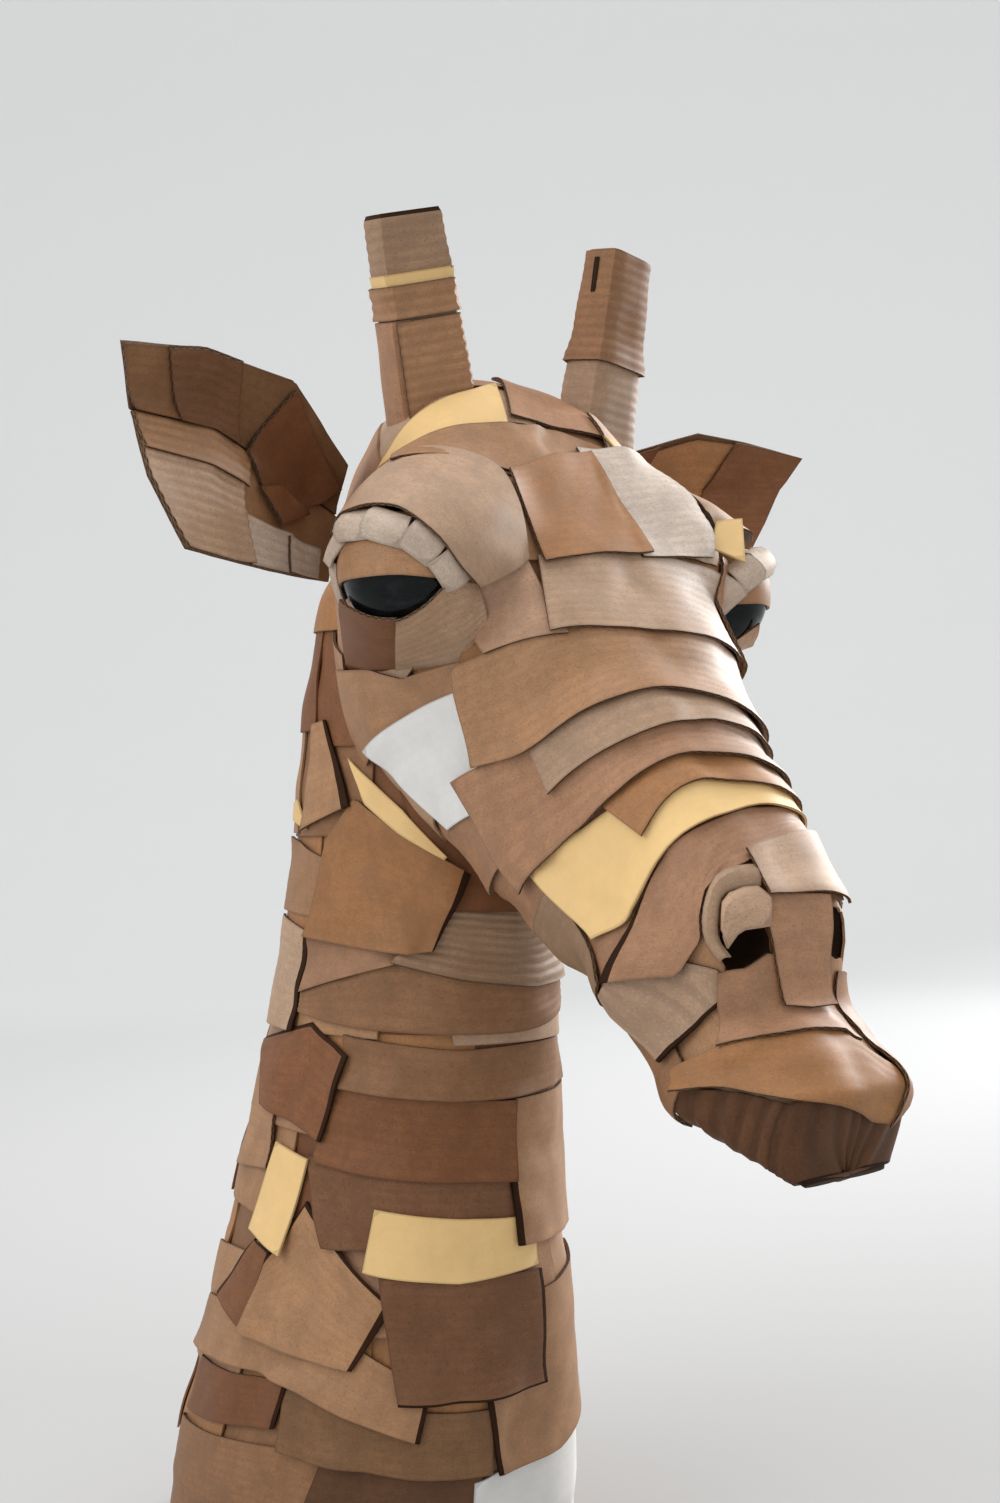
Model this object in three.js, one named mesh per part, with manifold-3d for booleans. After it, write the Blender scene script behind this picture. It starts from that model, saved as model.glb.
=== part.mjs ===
// A giraffe's head and neck built from glued patches of corrugated cardboard.
// Millimetres, +Z up, the muzzle pointing along -Y, the origin at the middle of the neck's flat base.
// Right and left are the animal's own: its right side is at -X.
import * as THREE from 'three';
import { mergeVertices } from 'three/addons/utils/BufferGeometryUtils.js';
import Module from 'manifold-3d';

const wasm = await Module();
wasm.setup();
const degrees = THREE.MathUtils.degToRad;
const SIDES = { right: -1, left: 1 };

// Board
const BOARD = 3;
const GAP = 0.3;

// The head's own frame has its origin between the eyes, the nose along -Y and the forehead up.
const HEAD_PITCH = 52;
const BETWEEN_EYES = [0, -237, 650];
const SKULL_BACK = -188;
const NOSE_END = 364;

// Head profiles: [distance from the eyes towards the nose, size]
const HEAD = {
  top: [[-188, -30], [-176, 4], [-152, 26], [-90, 34], [0, 31], [110, 27], [228, 27], [250, 20], [266, 4], [282, -8],
    [300, -5], [318, -1], [335, -3], [345, -14], [354, -27], [364, -37]],
  bottom: [[-188, -70], [-160, -114], [-110, -162], [-50, -192], [0, -194], [83, -166], [184, -124], [230, -106],
    [288, -102], [320, -78], [350, -51], [364, -45]],
  side: [[-188, 34], [-165, 68], [-120, 90], [-50, 99], [0, 99], [60, 87], [120, 73], [180, 64], [240, 61], [270, 54],
    [300, 57], [330, 53], [350, 46], [364, 36]],
  middle: [[-188, -50], [0, -50], [120, -45], [230, -40], [300, -48], [364, -41]],
  square: [[-188, 2.6], [-150, 3.4], [-60, 4.2], [20, 3.6], [120, 2.9], [364, 2.8]],
};

// Neck profiles: [height, size]
const NECK_TOP = 720;
const NECK = {
  middle: [[0, 0], [83, -12], [178, -28], [319, -47], [457, -66], [560, -72], [650, -78], [720, -88]],
  side: [[0, 129], [83, 122], [178, 109], [319, 93], [457, 81], [560, 79], [650, 76], [720, 54]],
  deep: [[0, 161], [83, 154], [178, 140], [319, 116], [457, 101], [560, 91], [650, 71], [720, 46]],
  square: 2.2,
};

// Eyes, in world place
const EYE = { across: 120, back: -218, up: 657, radius: 38, turn: 50 };
const EYE_ROOM = 3.7;

// Horns: foot and tip of the middle line on the right side, and the box section
const HORN = {
  foot: { right: [-48, -147, 752], left: [80, -150, 752] },
  tip: { right: [-88, -166, 880], left: [89, -166, 880] },
  turn: 12,
  footWidth: 52,
  footDepth: 30,
  tipWidth: 40,
  tipDepth: 24,
  corner: 5,
};

// Brows: the swelling of the skull over each eye, in the head's frame
const BROW = { across: 78, along: -42, up: -16, wide: 57, long: 64, tall: 54 };

// Nostrils, in the head's frame
const NOSTRIL = { across: 38, along: 262, up: 4, wide: 15, tall: 17, deep: 26 };

const giraffe = new THREE.Group();
const headFrame = new THREE.Group();
headFrame.position.set(...BETWEEN_EYES);
headFrame.rotation.x = degrees(HEAD_PITCH);
giraffe.add(headFrame);

function card(color) {
  return new THREE.MeshStandardMaterial({ color, roughness: 0.85 });
}
const kraft = card(0xa88766);
const paleKraft = card(0xbd9c7c);
const brownKraft = card(0x8a6448);
const yellowCard = card(0xead09a);
const whiteCard = card(0xdedcda);
const glossBlack = new THREE.MeshStandardMaterial({ color: 0x08090b, roughness: 0.08 });

function add(parent, name, geometry, material) {
  const mesh = new THREE.Mesh(geometry, material);
  mesh.name = name;
  parent.add(mesh);
}

// Smooth curve through [station, value] pairs, flat beyond both ends.
function curve(points, at) {
  const last = points.length - 1;
  if (at <= points[0][0]) return points[0][1];
  if (at >= points[last][0]) return points[last][1];
  let i = 0;
  while (at > points[i + 1][0]) i += 1;
  const slope = (k) => {
    const before = points[Math.max(k - 1, 0)];
    const after = points[Math.min(k + 1, last)];
    return (after[1] - before[1]) / (after[0] - before[0]);
  };
  const width = points[i + 1][0] - points[i][0];
  const t = (at - points[i][0]) / width;
  const rise = points[i + 1][1] - points[i][1];
  const m0 = slope(i) * width;
  const m1 = slope(i + 1) * width;
  return points[i][1] + t * (m0 + t * (3 * rise - 2 * m0 - m1 + t * (m0 + m1 - 2 * rise)));
}

// Distance from the middle to a rounded box of half sizes wide and tall, in the direction with this sine and cosine.
function reach(sine, cosine, wide, tall, square) {
  return (Math.abs(sine / wide) ** square + Math.abs(cosine / tall) ** square) ** (-1 / square);
}

// Point on the head in its own frame: around is 0 on the forehead line, 90 on the right cheek, 180 under the jaw.
function headPoint(along, around, out = 0) {
  const sine = Math.sin(degrees(around));
  const cosine = Math.cos(degrees(around));
  const middle = curve(HEAD.middle, along);
  const tall = cosine > 0 ? curve(HEAD.top, along) - middle : middle - curve(HEAD.bottom, along);
  const square = cosine > 0 ? curve(HEAD.square, along) : 2.4;
  const far = reach(sine, cosine, curve(HEAD.side, along) + out, tall + out, square);
  return new THREE.Vector3(-far * sine, -along, middle + far * cosine);
}

// Point on the neck: around is 0 on the throat, 90 on the right side, 180 on the nape.
function neckPoint(up, around, out = 0) {
  const sine = Math.sin(degrees(around));
  const cosine = Math.cos(degrees(around));
  const far = reach(sine, cosine, curve(NECK.side, up) + out, curve(NECK.deep, up) + out, NECK.square);
  return new THREE.Vector3(-far * sine, curve(NECK.middle, up) - far * cosine, up);
}

// Point on the ball of an eye: towards is the turn from where the eye looks to the nose, up the angle above level.
function eyePoint(side) {
  return (towards, up, out = 0) => {
    const radius = EYE.radius + out;
    const level = radius * Math.cos(degrees(up));
    const turn = degrees(towards);
    return new THREE.Vector3(-side * level * Math.sin(turn), -level * Math.cos(turn), radius * Math.sin(degrees(up)));
  };
}

// Closed solid between two grids of points with the same rows and columns, the outer one seen from outside.
function slab(outer, inner) {
  const rows = outer.length;
  const columns = outer[0].length;
  const vertices = [...outer.flat(), ...inner.flat()];
  const faces = [];
  const top = (i, j) => i * columns + j;
  const low = (i, j) => rows * columns + i * columns + j;
  const quad = (a, b, c, d) => faces.push(a, b, c, a, c, d);
  for (let i = 0; i + 1 < rows; i += 1) {
    for (let j = 0; j + 1 < columns; j += 1) {
      quad(top(i, j), top(i, j + 1), top(i + 1, j + 1), top(i + 1, j));
      quad(low(i, j), low(i + 1, j), low(i + 1, j + 1), low(i, j + 1));
    }
    quad(top(i, 0), top(i + 1, 0), low(i + 1, 0), low(i, 0));
    quad(top(i + 1, columns - 1), top(i, columns - 1), low(i, columns - 1), low(i + 1, columns - 1));
  }
  for (let j = 0; j + 1 < columns; j += 1) {
    quad(top(0, j + 1), top(0, j), low(0, j), low(0, j + 1));
    quad(top(rows - 1, j), top(rows - 1, j + 1), low(rows - 1, j + 1), low(rows - 1, j));
  }
  const geometry = new THREE.BufferGeometry().setFromPoints(vertices);
  geometry.setIndex(faces);
  return facingOut(geometry);
}

function volume(geometry) {
  const place = geometry.attributes.position;
  const corner = (i) => new THREE.Vector3().fromBufferAttribute(place, geometry.index.getX(i));
  let total = 0;
  for (let i = 0; i < geometry.index.count; i += 3) total += corner(i).dot(corner(i + 1).cross(corner(i + 2)));
  return total / 6;
}

function facingOut(geometry) {
  if (volume(geometry) < 0) {
    const index = geometry.index.array;
    for (let i = 0; i < index.length; i += 3) [index[i], index[i + 1]] = [index[i + 1], index[i]];
  }
  return geometry;
}

const steps = (from, to, count) => Array.from({ length: count + 1 }, (_, i) => from + ((to - from) * i) / count);

// Four corners [along, around] become a grid of places; the corners go round the patch in order.
function gridOf(corners, rows, columns, place) {
  const mix = THREE.MathUtils.lerp;
  return steps(0, 1, rows).map((t) => steps(0, 1, columns).map((u) => {
    const near = [0, 1].map((k) => mix(corners[0][k], corners[1][k], u));
    const far = [0, 1].map((k) => mix(corners[3][k], corners[2][k], u));
    return place(mix(near[0], far[0], t), mix(near[1], far[1], t));
  }));
}

// Sheet of board on a surface, between its four corners.
function sheet(point, corners, { low = GAP, high = GAP + BOARD, rows = 3, columns = 5 } = {}) {
  const outer = gridOf(corners, rows, columns, (a, b) => point(a, b, high));
  const inner = gridOf(corners, rows, columns, (a, b) => point(a, b, low));
  return slab(outer, inner);
}

// Closed solid through rings of points, capped at both ends.
function loft(rings) {
  const sides = rings[0].length;
  const faces = [];
  const ring = (r, k) => r * sides + (k % sides);
  for (let r = 0; r + 1 < rings.length; r += 1) {
    for (let k = 0; k < sides; k += 1) {
      faces.push(ring(r, k), ring(r, k + 1), ring(r + 1, k + 1));
      faces.push(ring(r, k), ring(r + 1, k + 1), ring(r + 1, k));
    }
  }
  const vertices = rings.flat();
  for (const r of [0, rings.length - 1]) {
    const middle = new THREE.Vector3();
    for (const corner of rings[r]) middle.addScaledVector(corner, 1 / sides);
    const hub = vertices.push(middle) - 1;
    for (let k = 0; k < sides; k += 1) {
      if (r === 0) faces.push(hub, ring(r, k + 1), ring(r, k));
      else faces.push(hub, ring(r, k), ring(r, k + 1));
    }
  }
  const geometry = new THREE.BufferGeometry().setFromPoints(vertices);
  geometry.setIndex(faces);
  return facingOut(geometry);
}

function ringsOn(point, stations, sides, out) {
  return stations.map((station) => steps(0, 360, sides).slice(0, -1).map((around) => point(station, around, out)));
}

// Booleans
function solid(geometry) {
  const bare = geometry.clone();
  bare.deleteAttribute('normal');
  bare.deleteAttribute('uv');
  const merged = mergeVertices(bare, 1e-4);
  return new wasm.Manifold(new wasm.Mesh({
    numProp: 3,
    vertProperties: Float32Array.from(merged.attributes.position.array),
    triVerts: Uint32Array.from(merged.index.array),
  }));
}

function geometryOf(manifold) {
  const mesh = manifold.getMesh();
  const geometry = new THREE.BufferGeometry();
  geometry.setAttribute('position', new THREE.BufferAttribute(Float32Array.from(mesh.vertProperties), 3));
  geometry.setIndex(Array.from(mesh.triVerts));
  return geometry;
}

// A geometry from one group's frame, seen in another's.
function moved(geometry, from, to) {
  from.updateWorldMatrix(true, false);
  to.updateWorldMatrix(true, false);
  return geometry.clone().applyMatrix4(to.matrixWorld.clone().invert().multiply(from.matrixWorld));
}

function ball(radius, across = 14, high = 7) {
  return new THREE.SphereGeometry(radius, across, high).rotateX(Math.PI / 2);
}

// Eye frames: -Y looks out of the head, forward and to the side.
const eyeFrames = {};
for (const [name, side] of Object.entries(SIDES)) {
  const frame = new THREE.Group();
  frame.position.set(side * EYE.across, EYE.back, EYE.up);
  frame.rotation.z = side * degrees(EYE.turn);
  giraffe.add(frame);
  eyeFrames[name] = frame;
}

// Head and neck: the layered skin, each as one solid
const HEAD_STATIONS = steps(SKULL_BACK, NOSE_END, 17);
const HEAD_RINGS = 16;
const skull = (out) => solid(loft(ringsOn(headPoint, HEAD_STATIONS, HEAD_RINGS, out)));
const NECK_STATIONS = steps(0, NECK_TOP, 7);
const NECK_RINGS = 16;
const column = (out) => solid(loft(ringsOn(neckPoint, NECK_STATIONS, NECK_RINGS, out)));

function nostrilHole(side) {
  const hole = ball(1, 10, 6).scale(NOSTRIL.wide, NOSTRIL.tall, NOSTRIL.deep);
  hole.rotateX(degrees(-35)).rotateY(side * degrees(50));
  return hole.translate(side * NOSTRIL.across, -NOSTRIL.along, NOSTRIL.up);
}

function brow(side, out) {
  const swelling = ball(1, 12, 7).scale(BROW.wide + out, BROW.long + out, BROW.tall + out);
  return swelling.translate(side * BROW.across, -BROW.along, BROW.up);
}

// The skull with its brows, and without the room that the eyes take
function headShape(out) {
  let shape = skull(out);
  for (const [name, side] of Object.entries(SIDES)) {
    const eyeRoom = solid(moved(ball(EYE.radius + EYE_ROOM), eyeFrames[name], headFrame));
    const socket = solid(moved(ball(EYE.radius + GAP), eyeFrames[name], headFrame));
    shape = shape.subtract(socket).add(solid(brow(side, out)).subtract(eyeRoom));
  }
  return shape;
}
function headWithNostrils() {
  const [right, left] = Object.values(SIDES).map((side) => solid(nostrilHole(side)));
  return headShape(0).subtract(right).subtract(left);
}
add(headFrame, 'head', geometryOf(headWithNostrils()), kraft);

const headInWorld = solid(moved(geometryOf(headShape(GAP)), headFrame, giraffe));
add(giraffe, 'neck', geometryOf(column(0).subtract(headInWorld)), kraft);

// One board's thickness over the head and over the neck, from which the patches are cut
function headSkin() {
  let skin = headShape(GAP + BOARD).subtract(headShape(GAP));
  for (const name of Object.keys(SIDES)) {
    const hornRoom = hornBox(-1, HORN_LENGTH, HORN_ROOM);
    skin = skin.subtract(solid(moved(geometryOf(hornRoom), hornFrames[name], headFrame)));
  }
  return skin;
}
function neckSkin() {
  const head = solid(moved(geometryOf(headShape(2 * GAP + BOARD)), headFrame, giraffe));
  return column(GAP + BOARD).subtract(column(GAP)).subtract(head);
}

// Horns: a tapered box of card with bands wrapped round it
const HORN_LENGTH = 134;
function hornFrame(name) {
  const frame = new THREE.Group();
  const foot = new THREE.Vector3(...HORN.foot[name]);
  const tip = new THREE.Vector3(...HORN.tip[name]);
  frame.position.copy(foot);
  frame.quaternion.setFromUnitVectors(new THREE.Vector3(0, 0, 1), tip.sub(foot).normalize());
  frame.rotateZ(SIDES[name] * degrees(HORN.turn));
  giraffe.add(frame);
  return frame;
}

function hornRing(up, out) {
  const t = up / HORN_LENGTH;
  const wide = THREE.MathUtils.lerp(HORN.footWidth, HORN.tipWidth, t) / 2 + out;
  const deep = THREE.MathUtils.lerp(HORN.footDepth, HORN.tipDepth, t) / 2 + out;
  const cut = HORN.corner;
  const quarter = [[wide - cut, deep], [wide - 0.3 * cut, deep - 0.3 * cut], [wide, deep - cut]];
  const outline = [
    ...quarter.map(([x, y]) => [x, y]).reverse(),
    ...quarter.map(([x, y]) => [-x, y]),
    ...quarter.map(([x, y]) => [-x, -y]).reverse(),
    ...quarter.map(([x, y]) => [x, -y]),
  ];
  return outline.map(([x, y]) => new THREE.Vector3(x, y, up));
}
const hornBox = (from, to, out) => solid(loft([hornRing(from, out), hornRing(to, out)]));
const hornWrap = (from, to, out) => hornBox(from, to, out + BOARD).subtract(hornBox(from - 1, to + 1, out));

const HORN_BANDS = {
  right: { sleeve: [4, 72, 0.9, kraft], middle_band: [72.6, 91, 1.1, kraft], yellow_band: [91.6, 99, 0.5, yellowCard] },
  left: { sleeve: [4, 62, 0.9, paleKraft], fluted_wrap: [62.6, 132, 1.1, brownKraft] },
};
const HORN_ROOM = 4.6;
const hornFrames = {};
for (const name of Object.keys(SIDES)) {
  const frame = hornFrame(name);
  hornFrames[name] = frame;
  const skullHere = solid(moved(geometryOf(headShape(GAP)), headFrame, frame));
  add(frame, `${name}_horn`, geometryOf(hornBox(0, HORN_LENGTH, 0).subtract(skullHere)), kraft);
  for (const [band, [from, to, out, material]] of Object.entries(HORN_BANDS[name])) {
    add(frame, `${name}_horn_${band}`, geometryOf(hornWrap(from, to, out).subtract(skullHere)), material);
  }
}

// Ears: a trough of two flaps that meet at a fold, open forward and outward
const EAR_EDGES = {
  right: {
    top: [[-88, -108, 735], [-116, -120, 755], [-150, -142, 773], [-225, -170, 775], [-281, -186, 767]],
    fold: [[-88, -92, 705], [-114, -100, 714], [-150, -116, 724], [-205, -141, 738], [-262, -157, 738]],
    middle: [[-90, -93, 684], [-118, -102, 688], [-155, -120, 692], [-212, -152, 700], [-258, -171, 701]],
    bottom: [[-96, -97, 662], [-126, -114, 661], [-160, -133, 661], [-202, -156, 662], [-240, -179, 663]],
  },
  left: {
    top: [[88, -108, 735], [130, -130, 764], [175, -155, 780], [217, -163, 777], [262, -173, 770]],
    fold: [[88, -92, 710], [126, -106, 728], [166, -124, 742], [208, -140, 746], [250, -162, 746]],
    middle: [[90, -93, 692], [124, -108, 702], [160, -126, 712], [198, -144, 718], [235, -162, 720]],
    bottom: [[92, -99, 674], [120, -114, 679], [150, -132, 684], [182, -148, 689], [215, -163, 693]],
  },
};
const vectors = (points) => points.map((point) => new THREE.Vector3(...point));

// Panel of board behind a grid of points, thickened away from the side it shows.
function panel(rows, thick, sign) {
  const inner = rows.map((row, i) => row.map((point, j) => {
    const along = row[Math.min(j + 1, row.length - 1)].clone().sub(row[Math.max(j - 1, 0)]);
    const across = rows[Math.min(i + 1, rows.length - 1)][j].clone().sub(rows[Math.max(i - 1, 0)][j]);
    return point.clone().addScaledVector(along.cross(across).normalize(), sign * thick);
  }));
  return slab(rows, inner);
}

for (const [name, side] of Object.entries(SIDES)) {
  const edges = EAR_EDGES[name];
  const [top, fold, middle, bottom] = [edges.top, edges.fold, edges.middle, edges.bottom].map(vectors);
  const lift = new THREE.Vector3(0, 0, 0.8);
  const upper = [top, fold.map((point) => point.clone().add(lift))];
  const lower = [fold.map((point) => point.clone().sub(lift)), middle, bottom];
  const upperFlap = solid(panel(upper, BOARD, side)).subtract(headInWorld);
  const lowerFlap = solid(panel(lower, BOARD, side)).subtract(headInWorld);
  add(giraffe, `${name}_ear_upper_flap`, geometryOf(upperFlap), brownKraft);
  add(giraffe, `${name}_ear_lower_flap`, geometryOf(lowerFlap.subtract(upperFlap)), paleKraft);
}

// Eyes, lids and brows: sheets round the ball of the eye, placed by [towards the nose, up] in degrees.
// low and high are a sheet's distances from the ball.
const ROLL = { low: 4.2, high: 9.6, width: 21, step: 0.03 };
const ROLL_PATH = [[-100, -22], [-80, 8], [-56, 28], [-22, 28], [12, 18], [36, 4], [56, -14]];
const HOOD = { low: 10.2, high: 13.2, depth: 46 };
const HOOD_EDGE = [[-92, 20], [-70, 37], [-36, 42], [4, 38], [32, 16], [48, -4], [66, -14]];
const LID = { low: 2, high: 3.6, rows: 2, columns: 8 };
const LID_CORNERS = [[-96, -10], [82, -12], [82, 40], [-96, 40]];
const LOWER_LID = { low: 3.4, high: 6.4 };
const LOWER_LID_EDGE = [[-92, -14], [-60, -31], [-28, -44], [4, -46], [28, -35], [48, -15], [84, -13]];
// Where the sheet under the eye meets the cheek, on the head's surface
const CHEEK_LINE = [[-58, 138], [-44, 130], [-22, 118], [2, 103], [14, 92], [30, 78], [26, 62]];

// Corners of one short piece of the rolled edge, between two neighbouring places on its path.
function rollCorners(from, to) {
  const tilt = Math.atan2(to[1] - from[1], (to[0] - from[0]) * 0.85);
  const reachOut = [-Math.sin(tilt) * ROLL.width, Math.cos(tilt) * ROLL.width];
  const along = (t) => [0, 1].map((k) => THREE.MathUtils.lerp(from[k], to[k], t));
  const [start, end] = [along(ROLL.step), along(1 - ROLL.step)];
  const shift = (spot, by) => [spot[0] + reachOut[0] * by, spot[1] + reachOut[1] * by];
  return [shift(start, 0.5), shift(end, 0.5), shift(end, -0.5), shift(start, -0.5)];
}

function intoFrame(frame, from, point) {
  from.updateWorldMatrix(true, false);
  frame.updateWorldMatrix(true, false);
  return frame.worldToLocal(from.localToWorld(point));
}

for (const [name, side] of Object.entries(SIDES)) {
  const frame = eyeFrames[name];
  const place = eyePoint(side);
  const headHere = solid(moved(geometryOf(headShape(GAP)), headFrame, frame));
  const ballRoom = solid(ball(EYE.radius + GAP));
  const onHead = (geometry) => solid(geometry).subtract(headHere).subtract(ballRoom);
  const put = (part, shape, material) => add(frame, `${name}_${part}`, geometryOf(shape), material);
  add(frame, `${name}_eye`, ball(EYE.radius), glossBlack);

  const lid = solid(sheet(place, LID_CORNERS, LID)).subtract(headHere);
  put('upper_lid', lid, brownKraft);

  const cheek = (out) => CHEEK_LINE.map(([along, around]) => (
    intoFrame(frame, headFrame, headPoint(along, side < 0 ? around : -around, out))));
  const edge = (out) => LOWER_LID_EDGE.map(([towards, up]) => place(towards, up, out));
  const bulge = (a, b, out) => a.map((point, i) => {
    const halfway = point.clone().lerp(b[i], 0.5);
    return halfway.setLength(Math.max(halfway.length(), EYE.radius + out));
  });
  const rows = (out, cheekOut) => [edge(out), bulge(edge(out), cheek(cheekOut), out), cheek(cheekOut)];
  const lidSlab = slab(rows(LOWER_LID.high, 4 * BOARD), rows(LOWER_LID.low, 3 * BOARD));
  const lowerLid = onHead(lidSlab).subtract(lid);
  put('lower_lid', lowerLid, kraft);

  let taken = lowerLid;
  ROLL_PATH.slice(0, -1).forEach((from, i) => {
    const corners = rollCorners(from, ROLL_PATH[i + 1]);
    const piece = onHead(sheet(place, corners, { low: ROLL.low, high: ROLL.high, rows: 2, columns: 2 }));
    put(`brow_roll_${i + 1}`, piece.subtract(taken), paleKraft);
    taken = taken.add(piece);
  });

  const top = HOOD_EDGE.map(([towards, up]) => [towards, up + HOOD.depth]);
  const grid = (out) => [HOOD_EDGE, top].map((row) => row.map(([towards, up]) => place(towards, up, out)));
  const middle = (out) => HOOD_EDGE.map(([towards, up]) => place(towards, up + HOOD.depth / 2, out));
  const layers = (out) => [grid(out)[0], middle(out), grid(out)[1]];
  put('brow_hood', onHead(slab(layers(HOOD.high), layers(HOOD.low))).subtract(taken), kraft);
}

// Patches of card on the head: corners [along, around], those glued on last first
const HEAD_PATCHES = {
  white_cheek_patch: [whiteCard, [[2, 140], [44, 86], [97, 113], [82, 137]]],
  forehead_patch: [kraft, [[-90, -34], [-58, 33], [8, 37], [-8, -35]]],
  crown_patch: [kraft, [[-104, -22], [-100, 52], [-62, 34], [-93, -20]]],
  forehead_yellow: [yellowCard, [[-146, 16], [-132, 64], [-112, 72], [-102, 24]]],
  bridge_patch: [paleKraft, [[0, -35], [8, 37], [52, 47], [62, -35]]],
  snout_wide_strip: [kraft, [[62, -34], [40, 72], [79, 103], [112, -33]]],
  snout_pale_strip: [paleKraft, [[112, -33], [102, 76], [123, 82], [128, -33]]],
  snout_brown_strip: [brownKraft, [[155, -35], [148, 62], [172, 58], [167, -35]]],
  snout_slanted_strip: [kraft, [[128, -35], [74, 110], [146, 130], [155, -35]]],
  nose_bridge_patch: [paleKraft, [[196, -30], [206, 21], [234, 22], [236, -32]]],
  snout_yellow: [yellowCard, [[165, -35], [146, 118], [199, 110], [180, -35]]],
  muzzle_side_patch: [kraft, [[184, -33], [206, 84], [245, 72], [202, -33]]],
  septum_strip: [kraft, [[238, -15], [238, 15], [278, 24], [278, -18]]],
  side_lip_patch: [paleKraft, [[246, 62], [226, 118], [282, 88], [268, 52]]],
  upper_lip_band: [brownKraft, [[303, -42], [284, 88], [306, 92], [349, -42]]],
};

// Patches of card on the neck: corners [up, around]
const NECK_PATCHES = {
  neck_upper_patch: [brownKraft, [[505, 110], [482, 20], [434, 32], [440, 92]]],
  neck_ribbed_patch: [paleKraft, [[460, -16], [434, 34], [414, 36], [408, -22]]],
  neck_golden_strip: [kraft, [[371, -28], [375, 60], [345, 60], [342, -28]]],
  neck_side_patch: [brownKraft, [[368, 112], [368, 62], [306, 68], [304, 104]]],
  neck_red_strip: [brownKraft, [[336, 4], [344, 60], [297, 66], [290, 2]]],
  neck_yellow_small: [yellowCard, [[302, 94], [297, 72], [236, 77], [243, 102]]],
  neck_yellow_wide: [yellowCard, [[264, -7], [273, 42], [235, 44], [232, -7]]],
  neck_pale_patch: [paleKraft, [[270, 70], [214, 36], [176, 48], [188, 98]]],
  neck_dark_patch: [brownKraft, [[230, -8], [230, 42], [155, 34], [160, -8]]],
  neck_foot_white: [whiteCard, [[108, 12], [122, -36], [6, -40], [6, 12]]],
};

// A little larger than the patch, so that neighbours keep a glue line between them.
function room(corners) {
  const middle = [0, 1].map((k) => corners.reduce((sum, corner) => sum + corner[k] / 4, 0));
  return corners.map((corner) => corner.map((value, k) => value + Math.sign(value - middle[k]) * 0.6));
}

function layPatches(parent, patches, point, shell) {
  const CUT = { low: -14, high: 16, rows: 1, columns: 5 };
  let free = shell;
  for (const [name, [material, corners]] of Object.entries(patches)) {
    add(parent, name, geometryOf(free.intersect(solid(sheet(point, corners, CUT)))), material);
    free = free.subtract(solid(sheet(point, room(corners), CUT)));
  }
}
layPatches(headFrame, HEAD_PATCHES, headPoint, headSkin());
layPatches(giraffe, NECK_PATCHES, neckPoint, neckSkin());

export default giraffe;
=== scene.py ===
# The dressed giraffe bust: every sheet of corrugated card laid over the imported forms.
# Sizes are millimetres until a mesh is filled, which is in metres. +Z is up and the muzzle points along -Y.
import math

import bpy
import numpy as np
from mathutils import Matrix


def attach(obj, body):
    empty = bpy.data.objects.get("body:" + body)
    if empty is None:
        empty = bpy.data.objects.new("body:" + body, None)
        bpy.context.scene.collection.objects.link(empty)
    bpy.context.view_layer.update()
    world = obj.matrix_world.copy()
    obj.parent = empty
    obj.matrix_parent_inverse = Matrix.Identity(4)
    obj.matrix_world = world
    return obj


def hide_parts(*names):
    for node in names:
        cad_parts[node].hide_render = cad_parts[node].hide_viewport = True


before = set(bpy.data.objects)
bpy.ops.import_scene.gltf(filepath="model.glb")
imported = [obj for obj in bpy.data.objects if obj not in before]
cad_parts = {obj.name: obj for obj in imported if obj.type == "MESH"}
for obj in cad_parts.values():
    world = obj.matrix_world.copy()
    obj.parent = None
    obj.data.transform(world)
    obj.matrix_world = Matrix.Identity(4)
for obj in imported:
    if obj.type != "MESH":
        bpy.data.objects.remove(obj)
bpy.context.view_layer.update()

MM = 0.001

# Board: its thickness by use, and the spacing of its ribs. The forms lie INSET under their sheets
BOARD, NECK_BOARD, THIN = 1.7, 1.9, 1.4
THICK_EDGE = 1.5
INSET = 5.0
RIB_PITCH = 6.5
RIB_TURNS = 2 * math.pi / (RIB_PITCH * MM)
LAP = 12
FLAT = (0, 0, 0, 0)
PLAIN_CARDS = ("yellow", "white")
DENT, SLIGHT_DENT = 0.24, 0.08
CRUSHED = 0.7

# Laying: a coarse grid finds a sheet's rest, and a finer one shapes it, finest across its ribs. A raised edge
# fades out over LIFT_FADE, and a sheet that is larger both ways than LARGE_SHEET bends less.
COARSE_STEP, RIB_STEP, PLAIN_STEP, LONG_STEP = 3.0, 1.55, 4.0, 5.0
LIFT_FADE = 8.0
LARGE_SHEET, LARGE_SHEET_STIFF = 35, 9.0

RIGHT, LEFT = -1, 1
SIDE_NAMES = {RIGHT: "right", LEFT: "left"}

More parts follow.
